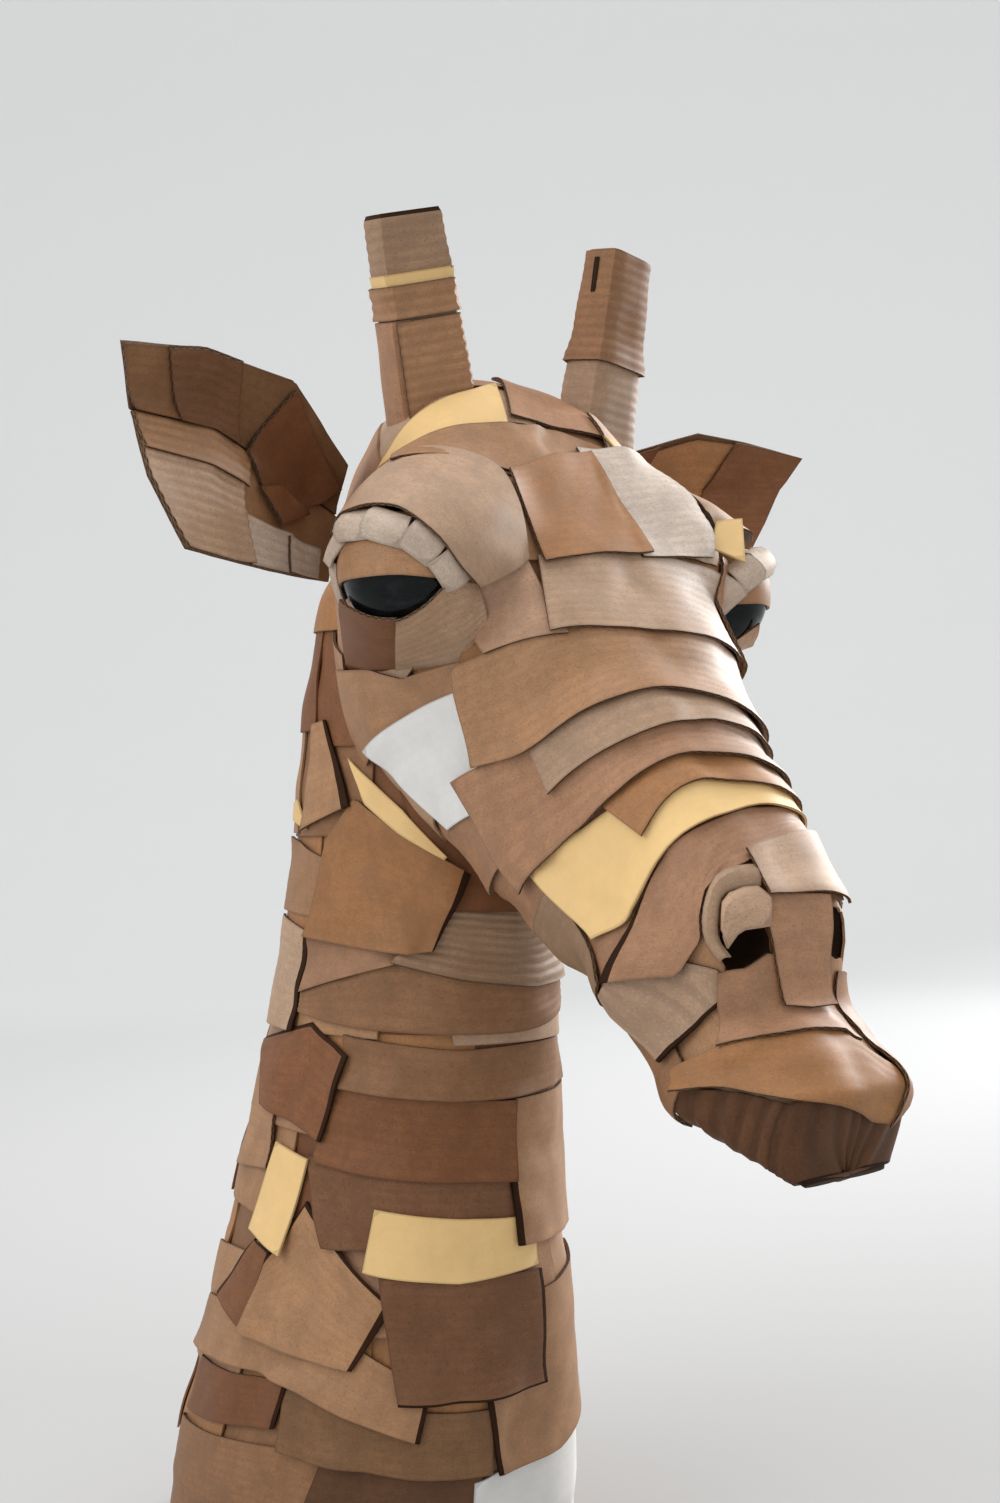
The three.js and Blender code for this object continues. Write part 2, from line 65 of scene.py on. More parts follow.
# The head: its own frame lies between the eyes, pitched down towards the nose
HEAD_PITCH = math.radians(52)
BETWEEN_EYES = np.array([0.0, -237.0, 650.0])
SKULL_BACK, NOSE_END = -188.0, 364.0
HEAD = {
    "top": [(-188, -30), (-176, 4), (-152, 26), (-90, 34), (0, 31), (110, 27), (228, 27), (250, 20),
            (266, 4), (282, -8), (300, -5), (318, -1), (335, -3), (345, -14), (354, -27), (364, -37)],
    "bottom": [(-188, -70), (-160, -114), (-110, -162), (-50, -192), (0, -194), (83, -166), (184, -124),
               (230, -106), (288, -102), (320, -78), (350, -51), (364, -45)],
    "side": [(-188, 34), (-165, 68), (-120, 90), (-50, 99), (0, 99), (60, 87), (120, 73), (180, 64),
             (240, 61), (270, 54), (300, 57), (330, 53), (350, 46), (364, 36)],
    "middle": [(-188, -50), (0, -50), (120, -45), (230, -40), (300, -48), (364, -41)],
    "square": [(-188, 2.6), (-150, 3.4), (-60, 4.2), (20, 3.6), (120, 2.9), (364, 2.8)],
}
JAW_SQUARE = 2.4
BROW = {"across": 78, "along": -42, "up": -16, "wide": 57, "long": 64, "tall": 54}
BROW_BLEND = 5.0

# The neck: middle line, half width and half depth by height
NECK_TOP = 720.0
NECK = {
    "middle": [(0, 0), (83, -12), (178, -28), (319, -47), (457, -66), (560, -72), (650, -78), (720, -88)],
    "side": [(0, 129), (83, 122), (178, 109), (319, 93), (457, 81), (560, 79), (650, 76), (720, 54)],
    "deep": [(0, 161), (83, 154), (178, 140), (319, 116), (457, 101), (560, 91), (650, 71), (720, 46)],
}
NECK_SQUARE = 2.2

# Eyes and nostrils
EYE = {"across": 120, "back": -218, "up": 657, "radius": 38, "turn": math.radians(50)}
EYE_ROOM = 41.0
NOSTRIL = {
    "along": 254, "around": {RIGHT: 39, LEFT: -32}, "half_size": (14, 14, 30), "room": (1.15, 1.15, 1),
}

# Horns: foot and tip of the middle line, by side
HORN = {
    "foot": {RIGHT: (-48, -147, 752), LEFT: (80, -150, 752)},
    "tip": {RIGHT: (-88, -166, 880), LEFT: (89, -166, 880)},
    "turn": math.radians(12), "foot_size": (52, 30), "tip_size": (40, 24), "corner": 5, "length": 134,
}

# Ears: four lines from root to tip, top to bottom
EAR = {
    RIGHT: [
        [(-88, -108, 735), (-116, -120, 755), (-150, -142, 773), (-225, -170, 775), (-281, -186, 767)],
        [(-88, -92, 705), (-114, -100, 714), (-150, -116, 724), (-205, -141, 738), (-262, -157, 738)],
        [(-90, -93, 684), (-118, -102, 688), (-155, -120, 692), (-212, -152, 700), (-258, -171, 701)],
        [(-96, -97, 662), (-126, -114, 661), (-160, -133, 661), (-202, -156, 662), (-240, -179, 663)],
    ],
    LEFT: [
        [(88, -108, 735), (130, -130, 764), (175, -155, 780), (217, -163, 777), (262, -173, 770)],
        [(88, -92, 710), (126, -106, 728), (166, -124, 742), (208, -140, 746), (250, -162, 746)],
        [(90, -93, 692), (124, -108, 702), (160, -126, 712), (198, -144, 718), (235, -162, 720)],
        [(92, -99, 674), (120, -114, 679), (150, -132, 684), (182, -148, 689), (215, -163, 693)],
    ],
}

# Camera and light
CAMERA_PLACE = (-0.681, -0.989, 0.547)
CAMERA_HEADING = math.radians(39.1)
CAMERA_PITCH = math.radians(0.49)
LENS, SENSOR_HEIGHT = 40.7, 36.0
AHEAD = np.array([math.sin(CAMERA_HEADING), math.cos(CAMERA_HEADING), 0])
ASIDE = np.array([math.cos(CAMERA_HEADING), -math.sin(CAMERA_HEADING), 0])
UPWARDS = np.array([0, 0, 1])
MIDDLE = np.array([0.0, -0.2, 0.55])
FLOOR_PAINT, WALL_PAINT = (0.47, 0.47, 0.465, 1), (0.95, 0.95, 0.945, 1)

# Card: its sheen from a lightness up, the tints for darker and lighter sheets, and the pale tint of a painted
# sheen
SHEEN = ((0.3, 0.38), (0.06, 0.2), (0.0, 0.05))
DARKER, LIGHTER, PAINTED_SHEEN_TINT = (0.8, 0.77, 0.74, 1), (1.16, 1.15, 1.14, 1), (0.84, 0.77, 0.71, 1)


# Curves and forms

def curve(points, at):
    """Smooth curve through (station, value) pairs, flat beyond both ends."""
    xs = np.array([p[0] for p in points], float)
    ys = np.array([p[1] for p in points], float)
    slope = np.empty_like(ys)
    slope[1:-1] = (ys[2:] - ys[:-2]) / (xs[2:] - xs[:-2])
    slope[0] = (ys[1] - ys[0]) / (xs[1] - xs[0])
    slope[-1] = (ys[-1] - ys[-2]) / (xs[-1] - xs[-2])
    at = np.clip(at, xs[0], xs[-1])
    i = np.clip(np.searchsorted(xs, at, side="right") - 1, 0, len(xs) - 2)
    width = xs[i + 1] - xs[i]
    t = (at - xs[i]) / width
    rise = ys[i + 1] - ys[i]
    m0, m1 = slope[i] * width, slope[i + 1] * width
    return ys[i] + t * (m0 + t * (3 * rise - 2 * m0 - m1 + t * (m0 + m1 - 2 * rise)))


def reach(sine, cosine, wide, tall, square):
    """Distance from the middle to a rounded box of these half sizes, in this direction."""
    return (np.abs(sine / wide) ** square + np.abs(cosine / tall) ** square) ** (-1 / square)


def from_head_frame(x, along, up):
    sine, cosine = math.sin(HEAD_PITCH), math.cos(HEAD_PITCH)
    place = np.stack([x, -along * cosine - up * sine, -along * sine + up * cosine], axis=-1)
    return place + BETWEEN_EYES


def brow_reach(along, sine, cosine, middle):
    """How far the swelling over either eye reaches, in this direction from the head's middle line."""
    swell = 1 - ((along - BROW["along"]) / BROW["long"]) ** 2
    squeeze = np.sqrt(np.clip(swell, 0.01, 1))
    wide, tall = BROW["wide"] * squeeze, BROW["tall"] * squeeze
    across = np.where(sine > 0, -1.0, 1.0) * BROW["across"]
    off_x, off_z = -across, middle - BROW["up"]
    a = (sine / wide) ** 2 + (cosine / tall) ** 2
    b = 2 * (-off_x * sine / wide ** 2 + off_z * cosine / tall ** 2)
    c = (off_x / wide) ** 2 + (off_z / tall) ** 2 - 1
    root = b * b - 4 * a * c
    return np.where((root > 0) & (swell > 0.01), (-b + np.sqrt(np.clip(root, 0, None))) / (2 * a), 0.0)


def head_point(along, around, out=0.0):
    """Point on the head: around is 0 on the forehead line, 90 on the right cheek, 180 under the jaw."""
    along, around, out = np.broadcast_arrays(np.asarray(along, float), around, out)
    sine, cosine = np.sin(np.radians(around)), np.cos(np.radians(around))
    middle = curve(HEAD["middle"], along)
    tall = np.where(cosine > 0, curve(HEAD["top"], along) - middle, middle - curve(HEAD["bottom"], along))
    square = np.where(cosine > 0, curve(HEAD["square"], along), JAW_SQUARE)
    skull = reach(sine, cosine, curve(HEAD["side"], along), tall, square)
    brow = brow_reach(along, sine, cosine, middle)
    gap = np.abs(skull - brow)
    far = np.maximum(skull, brow) + BROW_BLEND * np.log1p(np.exp(-gap / BROW_BLEND)) * (brow > 0) + out
    return from_head_frame(-far * sine, along, middle + far * cosine)


def neck_point(up, around, out=0.0):
    """Point on the neck: around is 0 on the throat, 90 on the right side, 180 on the nape."""
    up, around, out = np.broadcast_arrays(np.asarray(up, float), around, out)
    sine, cosine = np.sin(np.radians(around)), np.cos(np.radians(around))
    far = reach(sine, cosine, curve(NECK["side"], up) + out, curve(NECK["deep"], up) + out, NECK_SQUARE)
    return np.stack([-far * sine, curve(NECK["middle"], up) - far * cosine, up], axis=-1)


def eye_centre(side):
    return np.array([side * EYE["across"], EYE["back"], EYE["up"]], float)


def eye_point(side):
    """Point on the ball of an eye: towards is the turn to the nose, up the angle above level."""
    def place(towards, up, out=0.0):
        towards, up, out = np.broadcast_arrays(np.radians(towards), np.radians(up), out)
        radius = EYE["radius"] + out
        x = -side * radius * np.cos(up) * np.sin(towards)
        y = -radius * np.cos(up) * np.cos(towards)
        turn = side * EYE["turn"]
        turned = [x * math.cos(turn) - y * math.sin(turn), x * math.sin(turn) + y * math.cos(turn)]
        return np.stack([*turned, radius * np.sin(up)], axis=-1) + eye_centre(side)
    return place


def horn_axes(side):
    foot, tip = np.array(HORN["foot"][side], float), np.array(HORN["tip"][side], float)
    rise = (tip - foot) / np.linalg.norm(tip - foot)
    # The shortest turn from straight up to the horn's middle line, after the horn's own twist
    axis = np.cross([0, 0, 1], rise)
    sine, cosine = np.linalg.norm(axis), rise[2]
    axis = axis / sine
    twist = side * HORN["turn"]
    def turned(v):
        v = np.array(v, float)
        return v * cosine + np.cross(axis, v) * sine + axis * np.dot(axis, v) * (1 - cosine)
    across = turned([math.cos(twist), math.sin(twist), 0])
    back = turned([-math.sin(twist), math.cos(twist), 0])
    return foot, across, back, rise


def horn_point(side):
    """Point on a horn: up from its foot, around in degrees with 0 at the front face."""
    foot, across, back, rise = horn_axes(side)
    def place(up, around, out=0.0):
        up, around, out = np.broadcast_arrays(np.asarray(up, float), around, out)
        t = up / HORN["length"]
        wide = (HORN["foot_size"][0] * (1 - t) + HORN["tip_size"][0] * t) / 2 + out
        deep = (HORN["foot_size"][1] * (1 - t) + HORN["tip_size"][1] * t) / 2 + out
        sine, cosine = np.sin(np.radians(around)), np.cos(np.radians(around))
        far = reach(sine, cosine, wide, deep, 7.0)
        x, y = -far * sine, -far * cosine
        return foot + x[..., None] * across + y[..., None] * back + up[..., None] * rise
    return place


def ear_point(side):
    """Point on an ear: root is 0 to 1 from the head to the tip, down is 0 to 3 over its four lines."""
    lines = np.array(EAR[side], float)
    stations = np.linspace(0, 1, lines.shape[1])
    def bare(root, down):
        rows = [np.stack([np.interp(root, stations, line[:, k]) for k in range(3)], -1) for line in lines]
        low = np.clip(np.floor(down), 0, 2).astype(int)
        part = np.clip(down - low, 0, 1)[..., None]
        stack = np.stack(rows, 0)
        first = np.take_along_axis(stack, low[None, ..., None], 0)[0]
        second = np.take_along_axis(stack, low[None, ..., None] + 1, 0)[0]
        return first * (1 - part) + second * part
    def place(root, down, out=0.0):
        root, down, out = np.broadcast_arrays(np.asarray(root, float), np.asarray(down, float), out)
        step = 0.04
        along = bare(np.clip(root + step, 0, 1), down) - bare(np.clip(root - step, 0, 1), down)
        over = bare(root, np.clip(down + 0.3, 0, 3)) - bare(root, np.clip(down - 0.3, 0, 3))
        normal = np.cross(along, over)
        normal *= -side / np.maximum(np.linalg.norm(normal, axis=-1, keepdims=True), 1e-9)
        return bare(root, down) + normal * out[..., None]
    return place


# Laying sheets: each surface remembers how high the card on it already lies

class Surface:
    """A form to lay card on, with the height of what lies on it over two coordinates."""

    def __init__(self, point, first, second, steps, round_about=False, start=0.0):
        self.point = point
        self.first, self.second, self.round_about = first, second, round_about
        cells = (int((first[1] - first[0]) / steps[0]) + 2, int((second[1] - second[0]) / steps[1]) + 2)
        self.height = np.full(cells, float(start))
        self.steps = steps

    def cells(self, a, b):
        if self.round_about:
            span = self.second[1] - self.second[0]
            b = (b - self.second[0]) % span + self.second[0]
        i = np.clip((a - self.first[0]) / self.steps[0], 0, self.height.shape[0] - 1.001)
        j = np.clip((b - self.second[0]) / self.steps[1], 0, self.height.shape[1] - 1.001)
        return np.rint(i).astype(int), np.rint(j).astype(int)

    def at(self, a, b):
        return self.height[self.cells(a, b)]

    def raise_to(self, a, b, top):
        np.maximum.at(self.height, self.cells(a, b), top)


def spread(grid, radius, how):
    """Largest or mean value within a number of cells, along both directions."""
    for axis, count in enumerate(radius):
        pad = [(0, 0), (0, 0)]
        pad[axis] = (count, count)
        wide = np.pad(grid, pad, mode="edge")
        size = grid.shape[axis]
        shifted = [np.take(wide, range(k, k + size), axis) for k in range(2 * count + 1)]
        grid = how(np.array(shifted), axis=0)
    return grid


def edge_at(edge, steps):
    """Places on a bent edge, where 0 is its first corner, 1 its second, and so on."""
    edge = np.array(edge, float)
    return np.stack([np.interp(steps, range(len(edge)), edge[:, k]) for k in (0, 1)], -1)


def ruled(top, bottom, rows, columns):
    upper, lower = [edge_at(edge, np.linspace(0, len(edge) - 1, columns)) for edge in (top, bottom)]
    t = np.linspace(0, 1, rows)[:, None, None]
    return upper[None] * (1 - t) + lower[None] * t


def size_of(surface, top, bottom):
    """How far a sheet runs down and across."""
    grid = ruled(top, bottom, 5, 9)
    place = surface.point(grid[..., 0], grid[..., 1])
    across = np.linalg.norm(np.diff(place, axis=1), axis=-1).sum(1).mean()
    down = np.linalg.norm(np.diff(place, axis=0), axis=-1).sum(0).mean()
    return down, across


def resample(grid, rows, columns):
    first = np.linspace(0, grid.shape[0] - 1, rows)
    second = np.linspace(0, grid.shape[1] - 1, columns)
    half = np.array([np.interp(second, range(grid.shape[1]), row) for row in grid])
    return np.array([np.interp(first, range(grid.shape[0]), column) for column in half.T]).T


def from_edges(v, u, size):
    """How far each point of a sheet lies from its top, bottom, start and end."""
    down, across = size
    return v * down, (1 - v) * down, u * across, (1 - u) * across


def rest_on(surface, top, bottom, size, base, stiff, lift, thick):
    """How high a sheet rests over what lies under it. The surface then holds the sheet too."""
    rows, columns = [max(int(side / COARSE_STEP), 3) + 1 for side in size]
    grid = ruled(top, bottom, rows, columns)
    under = surface.at(grid[..., 0], grid[..., 1]) + base
    stiff = max(stiff, LARGE_SHEET_STIFF) if min(size) > LARGE_SHEET else stiff
    radius = [max(int(stiff / (side / (count - 1))), 1) for side, count in zip(size, (rows, columns))]
    rest = spread(spread(under, radius, np.max), radius, np.mean)
    rest = spread(rest, [max(r // 2, 1) for r in radius], np.mean)
    share_down, share_across = np.linspace(0, 1, rows)[:, None], np.linspace(0, 1, columns)[None, :]
    for amount, distance in zip(lift, from_edges(share_down, share_across, size)):
        rest = rest + amount * np.exp(-(distance / LIFT_FADE) ** 1.5)
    dense = ruled(top, bottom, rows * 3, columns * 3)
    surface.raise_to(dense[..., 0], dense[..., 1], resample(rest, rows * 3, columns * 3) + thick)
    return rest


def deselect():
    bpy.ops.object.select_all(action="DESELECT")


def pick(*pieces):
    """Selects these pieces alone, the first of them active."""
    deselect()
    for piece in pieces:
        piece.select_set(True)
    bpy.context.view_layer.objects.active = pieces[0]


def read_vectors(points, key="co"):
    """The places or normals of a mesh's points, a row each."""
    values = np.empty(len(points) * 3, np.float32)
    points.foreach_get(key, values)
    return values.reshape(-1, 3)


def points_of_corners(mesh):
    points = np.empty(len(mesh.loops), np.int32)
    mesh.loops.foreach_get("vertex_index", points)
    return points


def grid_object(name, rows, columns):
    """A grid primitive, with each vertex's row and column share from 0 to 1."""
    deselect()
    bpy.ops.mesh.primitive_grid_add(x_subdivisions=columns - 1, y_subdivisions=rows - 1, size=1)
    piece = bpy.context.object
    piece.name = name
    piece.data.name = name
    place = read_vectors(piece.data.vertices)
    return piece, 0.5 - place[:, 1], place[:, 0] + 0.5


def fill_vertices(piece, place):
    piece.data.vertices.foreach_set("co", (np.asarray(place) * MM).astype(np.float32).ravel())
    piece.data.update()


def set_sheet_map(piece, past_ribs, with_ribs):
    """The sheet's own flat plan, in metres, as its UV map."""
    mesh = piece.data
    points = points_of_corners(mesh)
    layer = mesh.uv_layers.active or mesh.uv_layers.new(name="plan")
    layer.name = "plan"
    plan = np.stack([with_ribs[points], past_ribs[points]], -1) * MM
    layer.data.foreach_set("uv", plan.astype(np.float32).ravel())


def set_attribute(mesh, name, values):
    layer = mesh.attributes.new(name=name, type="FLOAT", domain="POINT")
    layer.data.foreach_set("value", np.asarray(values, np.float32))


def cut_away(piece, gone):
    """Deletes the marked vertices of a mesh."""
    if not gone.any():
        return
    pick(piece)
    bpy.ops.object.mode_set(mode="EDIT")
    bpy.ops.mesh.select_all(action="DESELECT")
    bpy.ops.mesh.select_mode(type="VERT")
    bpy.ops.object.mode_set(mode="OBJECT")
    piece.data.vertices.foreach_set("select", gone)
    bpy.ops.object.mode_set(mode="EDIT")
    bpy.ops.mesh.delete(type="VERT")
    bpy.ops.object.mode_set(mode="OBJECT")


def thicken(piece, thick, marks):
    """Gives a sheet its thickness inwards, and each point its depth and the values that its finish reads."""
    count = len(piece.data.vertices)
    board = piece.modifiers.new("board", "SOLIDIFY")
    board.thickness = thick * MM
    board.offset = -1
    board.use_quality_normals = True
    board.material_offset_rim = 1
    pick(piece)
    bpy.ops.object.modifier_apply(modifier=board.name)
    mesh = piece.data
    set_attribute(mesh, "depth", np.arange(len(mesh.vertices)) >= count)
    for mark, values in marks.items():
        set_attribute(mesh, mark, np.concatenate([values, values])[:len(mesh.vertices)])
    bpy.ops.object.shade_smooth_by_angle(angle=math.radians(38))


def snapped(share, index, length, widths):
    """Moves one line of the grid to each open end's inner limit, so that the end is cut straight."""
    last = index.max()
    for wide, limit in zip(widths, (widths[0] / length, 1 - widths[1] / length)):
        if wide:
            share = np.where(index == min(max(round(limit * last), 1), last - 1), limit, share)
    return share


def mark_open(piece, opened):
    """Gives the faces of open ends the third material, the shade card: painted shade."""
    least = opened[points_of_corners(piece.data)].reshape(-1, 4).min(1)
    index = np.where(least > -0.02, 2, 0).astype(np.int32)
    piece.data.polygons.foreach_set("material_index", index)


draw = np.random.default_rng(7)


def dented(run, other, shift):
    """Soft dents all over a sheet, 1.5 at the most."""
    wide = np.sin(run / 9.0 + shift * 3) * np.sin(other / 7.5 + shift * 5)
    return wide + 0.5 * np.sin(run / 6.1 + other / 4.7)


def ribbed(rib, run, shift, pitch):
    """The ribs of the board, which rise and sink by rib at the most, here weaker and there stronger."""
    uneven = 0.65 + 0.35 * np.sin(run / 37.0 + shift)
    return rib * uneven * np.cos(2 * np.pi * (run + shift) / pitch)


def lay(name, surface, card, top, bottom, ribs="across", rib=0.07, thick=BOARD, lift=None, node=None,
        base=0.0, bulge=0.0, stiff=6.0, openings=(), tone=None, part_of_row=False,
        pitch=RIB_PITCH, open_ends=FLAT, smooth=False, painted_sheen=0.0):
    """Lays a sheet over what lies on a surface, between two edges given in the surface's coordinates.

    ribs says which way the board's ribs follow each other, rib is half their height and pitch their
    spacing. lift raises each edge, and open_ends is how wide a crushed open end each has, painted dark with
    the shade card as painted shade: top, bottom, start, end. base and bulge raise it all over and along its
    middle, and stiff is how far it bridges steps. tone makes it darker or lighter, the sheen setting paints a
    pale highlight towards its end, and smooth bends its edges to curves.
    """
    if smooth:
        top, bottom = smooth_line(top), smooth_line(bottom)
    size = size_of(surface, top, bottom)
    lift = draw.uniform(0.0, 0.35, 4) if lift is None else lift
    rest = rest_on(surface, top, bottom, size, base, stiff, lift, thick)

    fine = RIB_STEP if rib > 0 else PLAIN_STEP
    steps = (fine, LONG_STEP) if ribs == "across" else (LONG_STEP, fine)
    rows, columns = [max(int(side / step), 3) + 1 for side, step in zip(size, steps)]
    piece, v, u = grid_object(name, rows, columns)
    row, column = np.rint(v * (rows - 1)).astype(int), np.rint(u * (columns - 1)).astype(int)
    height = resample(rest, rows, columns)[row, column] + thick
    v, u = snapped(v, row, size[0], open_ends[:2]), snapped(u, column, size[1], open_ends[2:])
    upper, lower = [edge_at(edge, u * (len(edge) - 1)) for edge in (top, bottom)]
    spot = upper * (1 - v[:, None]) + lower * v[:, None]
    run, other = (v * size[0], u * size[1]) if ribs == "across" else (u * size[1], v * size[0])
    shift = draw.uniform(0, RIB_PITCH)
    dent = SLIGHT_DENT if card in PLAIN_CARDS else DENT
    height = height + ribbed(rib, run, shift, pitch) + dent * dented(run, other, shift)
    height = height + bulge * np.clip(np.sin(np.pi * v), 0, 1) ** 0.4
    opened = np.full(len(u), -1.0)
    for wide, distance in zip(open_ends, from_edges(v, u, size)):
        if wide:
            opened = np.maximum(opened, 1 - distance / wide)
    height = height - np.clip(opened, 0, 1) * thick * CRUSHED

    place = surface.point(spot[:, 0], spot[:, 1], height)
    gone = np.zeros(len(place), bool)
    for opening in openings:
        place, inside = opening(place)
        gone |= inside
    fill_vertices(piece, place)
    set_sheet_map(piece, (run + shift) * RIB_PITCH / pitch, other)
    outward = surface.point(spot[:, 0], spot[:, 1], height + 5) - place
    if (read_vectors(piece.data.vertices, "normal") * outward).sum() < 0:
        piece.data.flip_normals()
    cut_away(piece, gone)

    for finish in [card, "cut_edge" if thick > THICK_EDGE else card] + ["shade"] * (max(open_ends) > 0):
        piece.data.materials.append(MATERIALS[finish])
    if max(open_ends) > 0:
        mark_open(piece, opened[~gone])
    tone = draw.uniform(-0.5, 0.5) if tone is None else tone
    marks = {
        "edge": np.min(from_edges(v, u, size), axis=0),
        "tone": np.interp(u, (0, 1), tone if isinstance(tone, tuple) else (tone, tone)),
        # A painted sheen: a pale highlight that grows towards the sheet's end
        "painted_sheen": painted_sheen * np.clip((u - 0.52) / 0.25, 0, 1) * np.clip((1.12 - u) / 0.3, 0, 1),
        # How strongly painted shade fills the rib hollows
        "ribbed": np.full(len(u), 1.5 if pitch > RIB_PITCH else min(0.25 + rib * 1.5, 1.2)),
    }
    thicken(piece, thick, {mark: values[~gone] for mark, values in marks.items()})
    if not part_of_row:
        finish_piece(piece, node)
    return piece


def finish_piece(piece, node=None):
    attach(piece, "root")
    if node:
        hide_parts(node)


# Openings that sheets leave free

def eye_opening(side, room=EYE_ROOM):
    """Cuts a sheet round the eye, and draws the points just outside the cut onto it."""
    centre = eye_centre(side)
    def cut(place):
        off = place - centre
        far = np.linalg.norm(off, axis=-1)
        snap = (far >= room) & (far < room + 4)
        drawn = centre + off * (room / np.maximum(far, 1e-6))[..., None]
        return np.where(snap[..., None], drawn, place), far < room
    return cut


def nostril_frame(side):
    around = NOSTRIL["around"][side]
    centre = head_point(NOSTRIL["along"], around)
    forward = head_point(NOSTRIL["along"] + 5, around) - head_point(NOSTRIL["along"] - 5, around)
    forward /= np.linalg.norm(forward)
    outward = head_point(NOSTRIL["along"], around, 5) - centre
    outward -= forward * np.dot(outward, forward)
    outward /= np.linalg.norm(outward)
    return centre, forward, np.cross(outward, forward), outward


def nostril_opening(side):
    """Cuts a sheet round a nostril, and draws the nearest points to the opening's rim."""
    centre, forward, across, outward = nostril_frame(side)
    long, wide = NOSTRIL["half_size"][:2]
    def cut(place):
        off = place - centre
        x, y = off @ forward / long, off @ across / wide
        ring = np.hypot(x, y)
        near = np.abs(off @ outward) < 25
        snap = near & (ring >= 0.9) & (ring < 1.25)
        push = np.where(snap, (1.0 - ring) * 0.8 / np.maximum(ring, 1e-6), 0)[..., None]
        moved = place + push * (x[..., None] * forward * long + y[..., None] * across * wide)
        return moved, near & (ring < 0.9)
    return cut


# Finishes

class Finish:
    """A material, with a short method for each kind of node. An input is a socket or a value."""

    def __init__(self, name, specular=0.5, rough=0.5):
        self.material = bpy.data.materials.new(name)
        self.material.use_nodes = True
        self.tree = self.material.node_tree
        self.shader = self.tree.nodes["Principled BSDF"].inputs
        self.shader["Specular IOR Level"].default_value = specular
        self.shader["Roughness"].default_value = rough

    def feed(self, socket, value):
        if isinstance(value, bpy.types.NodeSocket):
            self.tree.links.new(value, socket)
        else:
            socket.default_value = value

    def node(self, kind, inputs, out=0, **settings):
        made = self.tree.nodes.new(kind)
        for key, value in settings.items():
            setattr(made, key, value)
        for key, value in inputs.items():
            self.feed(made.inputs[key], value)
        return made.outputs[out]

    def body(self):
        return self.node("ShaderNodeTexCoord", {}, "Object")

    def plan(self):
        """The sheet's own flat plan: along its ribs, and past them."""
        return self.node("ShaderNodeUVMap", {}, "UV", uv_map="plan")

    def part(self, vector, index):
        return self.node("ShaderNodeSeparateXYZ", {0: vector}, index)

    def mark(self, name):
        return self.node("ShaderNodeAttribute", {}, "Fac", attribute_name=name)

    def mix(self, factor, first, second, blend="MIX"):
        inputs = {0: factor, 6: first, 7: second}
        return self.node("ShaderNodeMix", inputs, 2, data_type="RGBA", blend_type=blend)

    def math(self, operation, *values, clamp=False):
        return self.node("ShaderNodeMath", dict(enumerate(values)), operation=operation, use_clamp=clamp)

    def times(self, first, second, clamp=False):
        return self.math("MULTIPLY", first, second, clamp=clamp)

    def line(self, value, slope, start):
        return self.math("MULTIPLY_ADD", value, slope, start)

    def noise(self, vector, stretch, scale, detail=3.0, rough=0.55):
        if stretch:
            vector = self.node("ShaderNodeMapping", {"Vector": vector, "Scale": stretch})
        inputs = {"Vector": vector, "Scale": scale, "Detail": detail, "Roughness": rough}
        return self.node("ShaderNodeTexNoise", inputs)

    def between(self, value, low, high):
        """0 at low, 1 at high, smooth between."""
        inputs = {0: value, 1: low, 2: high}
        return self.node("ShaderNodeMapRange", inputs, interpolation_type="SMOOTHSTEP")

    def bump(self, height, strength, distance):
        inputs = {"Height": height, "Strength": strength, "Distance": distance}
        self.feed(self.shader["Normal"], self.node("ShaderNodeBump", inputs))


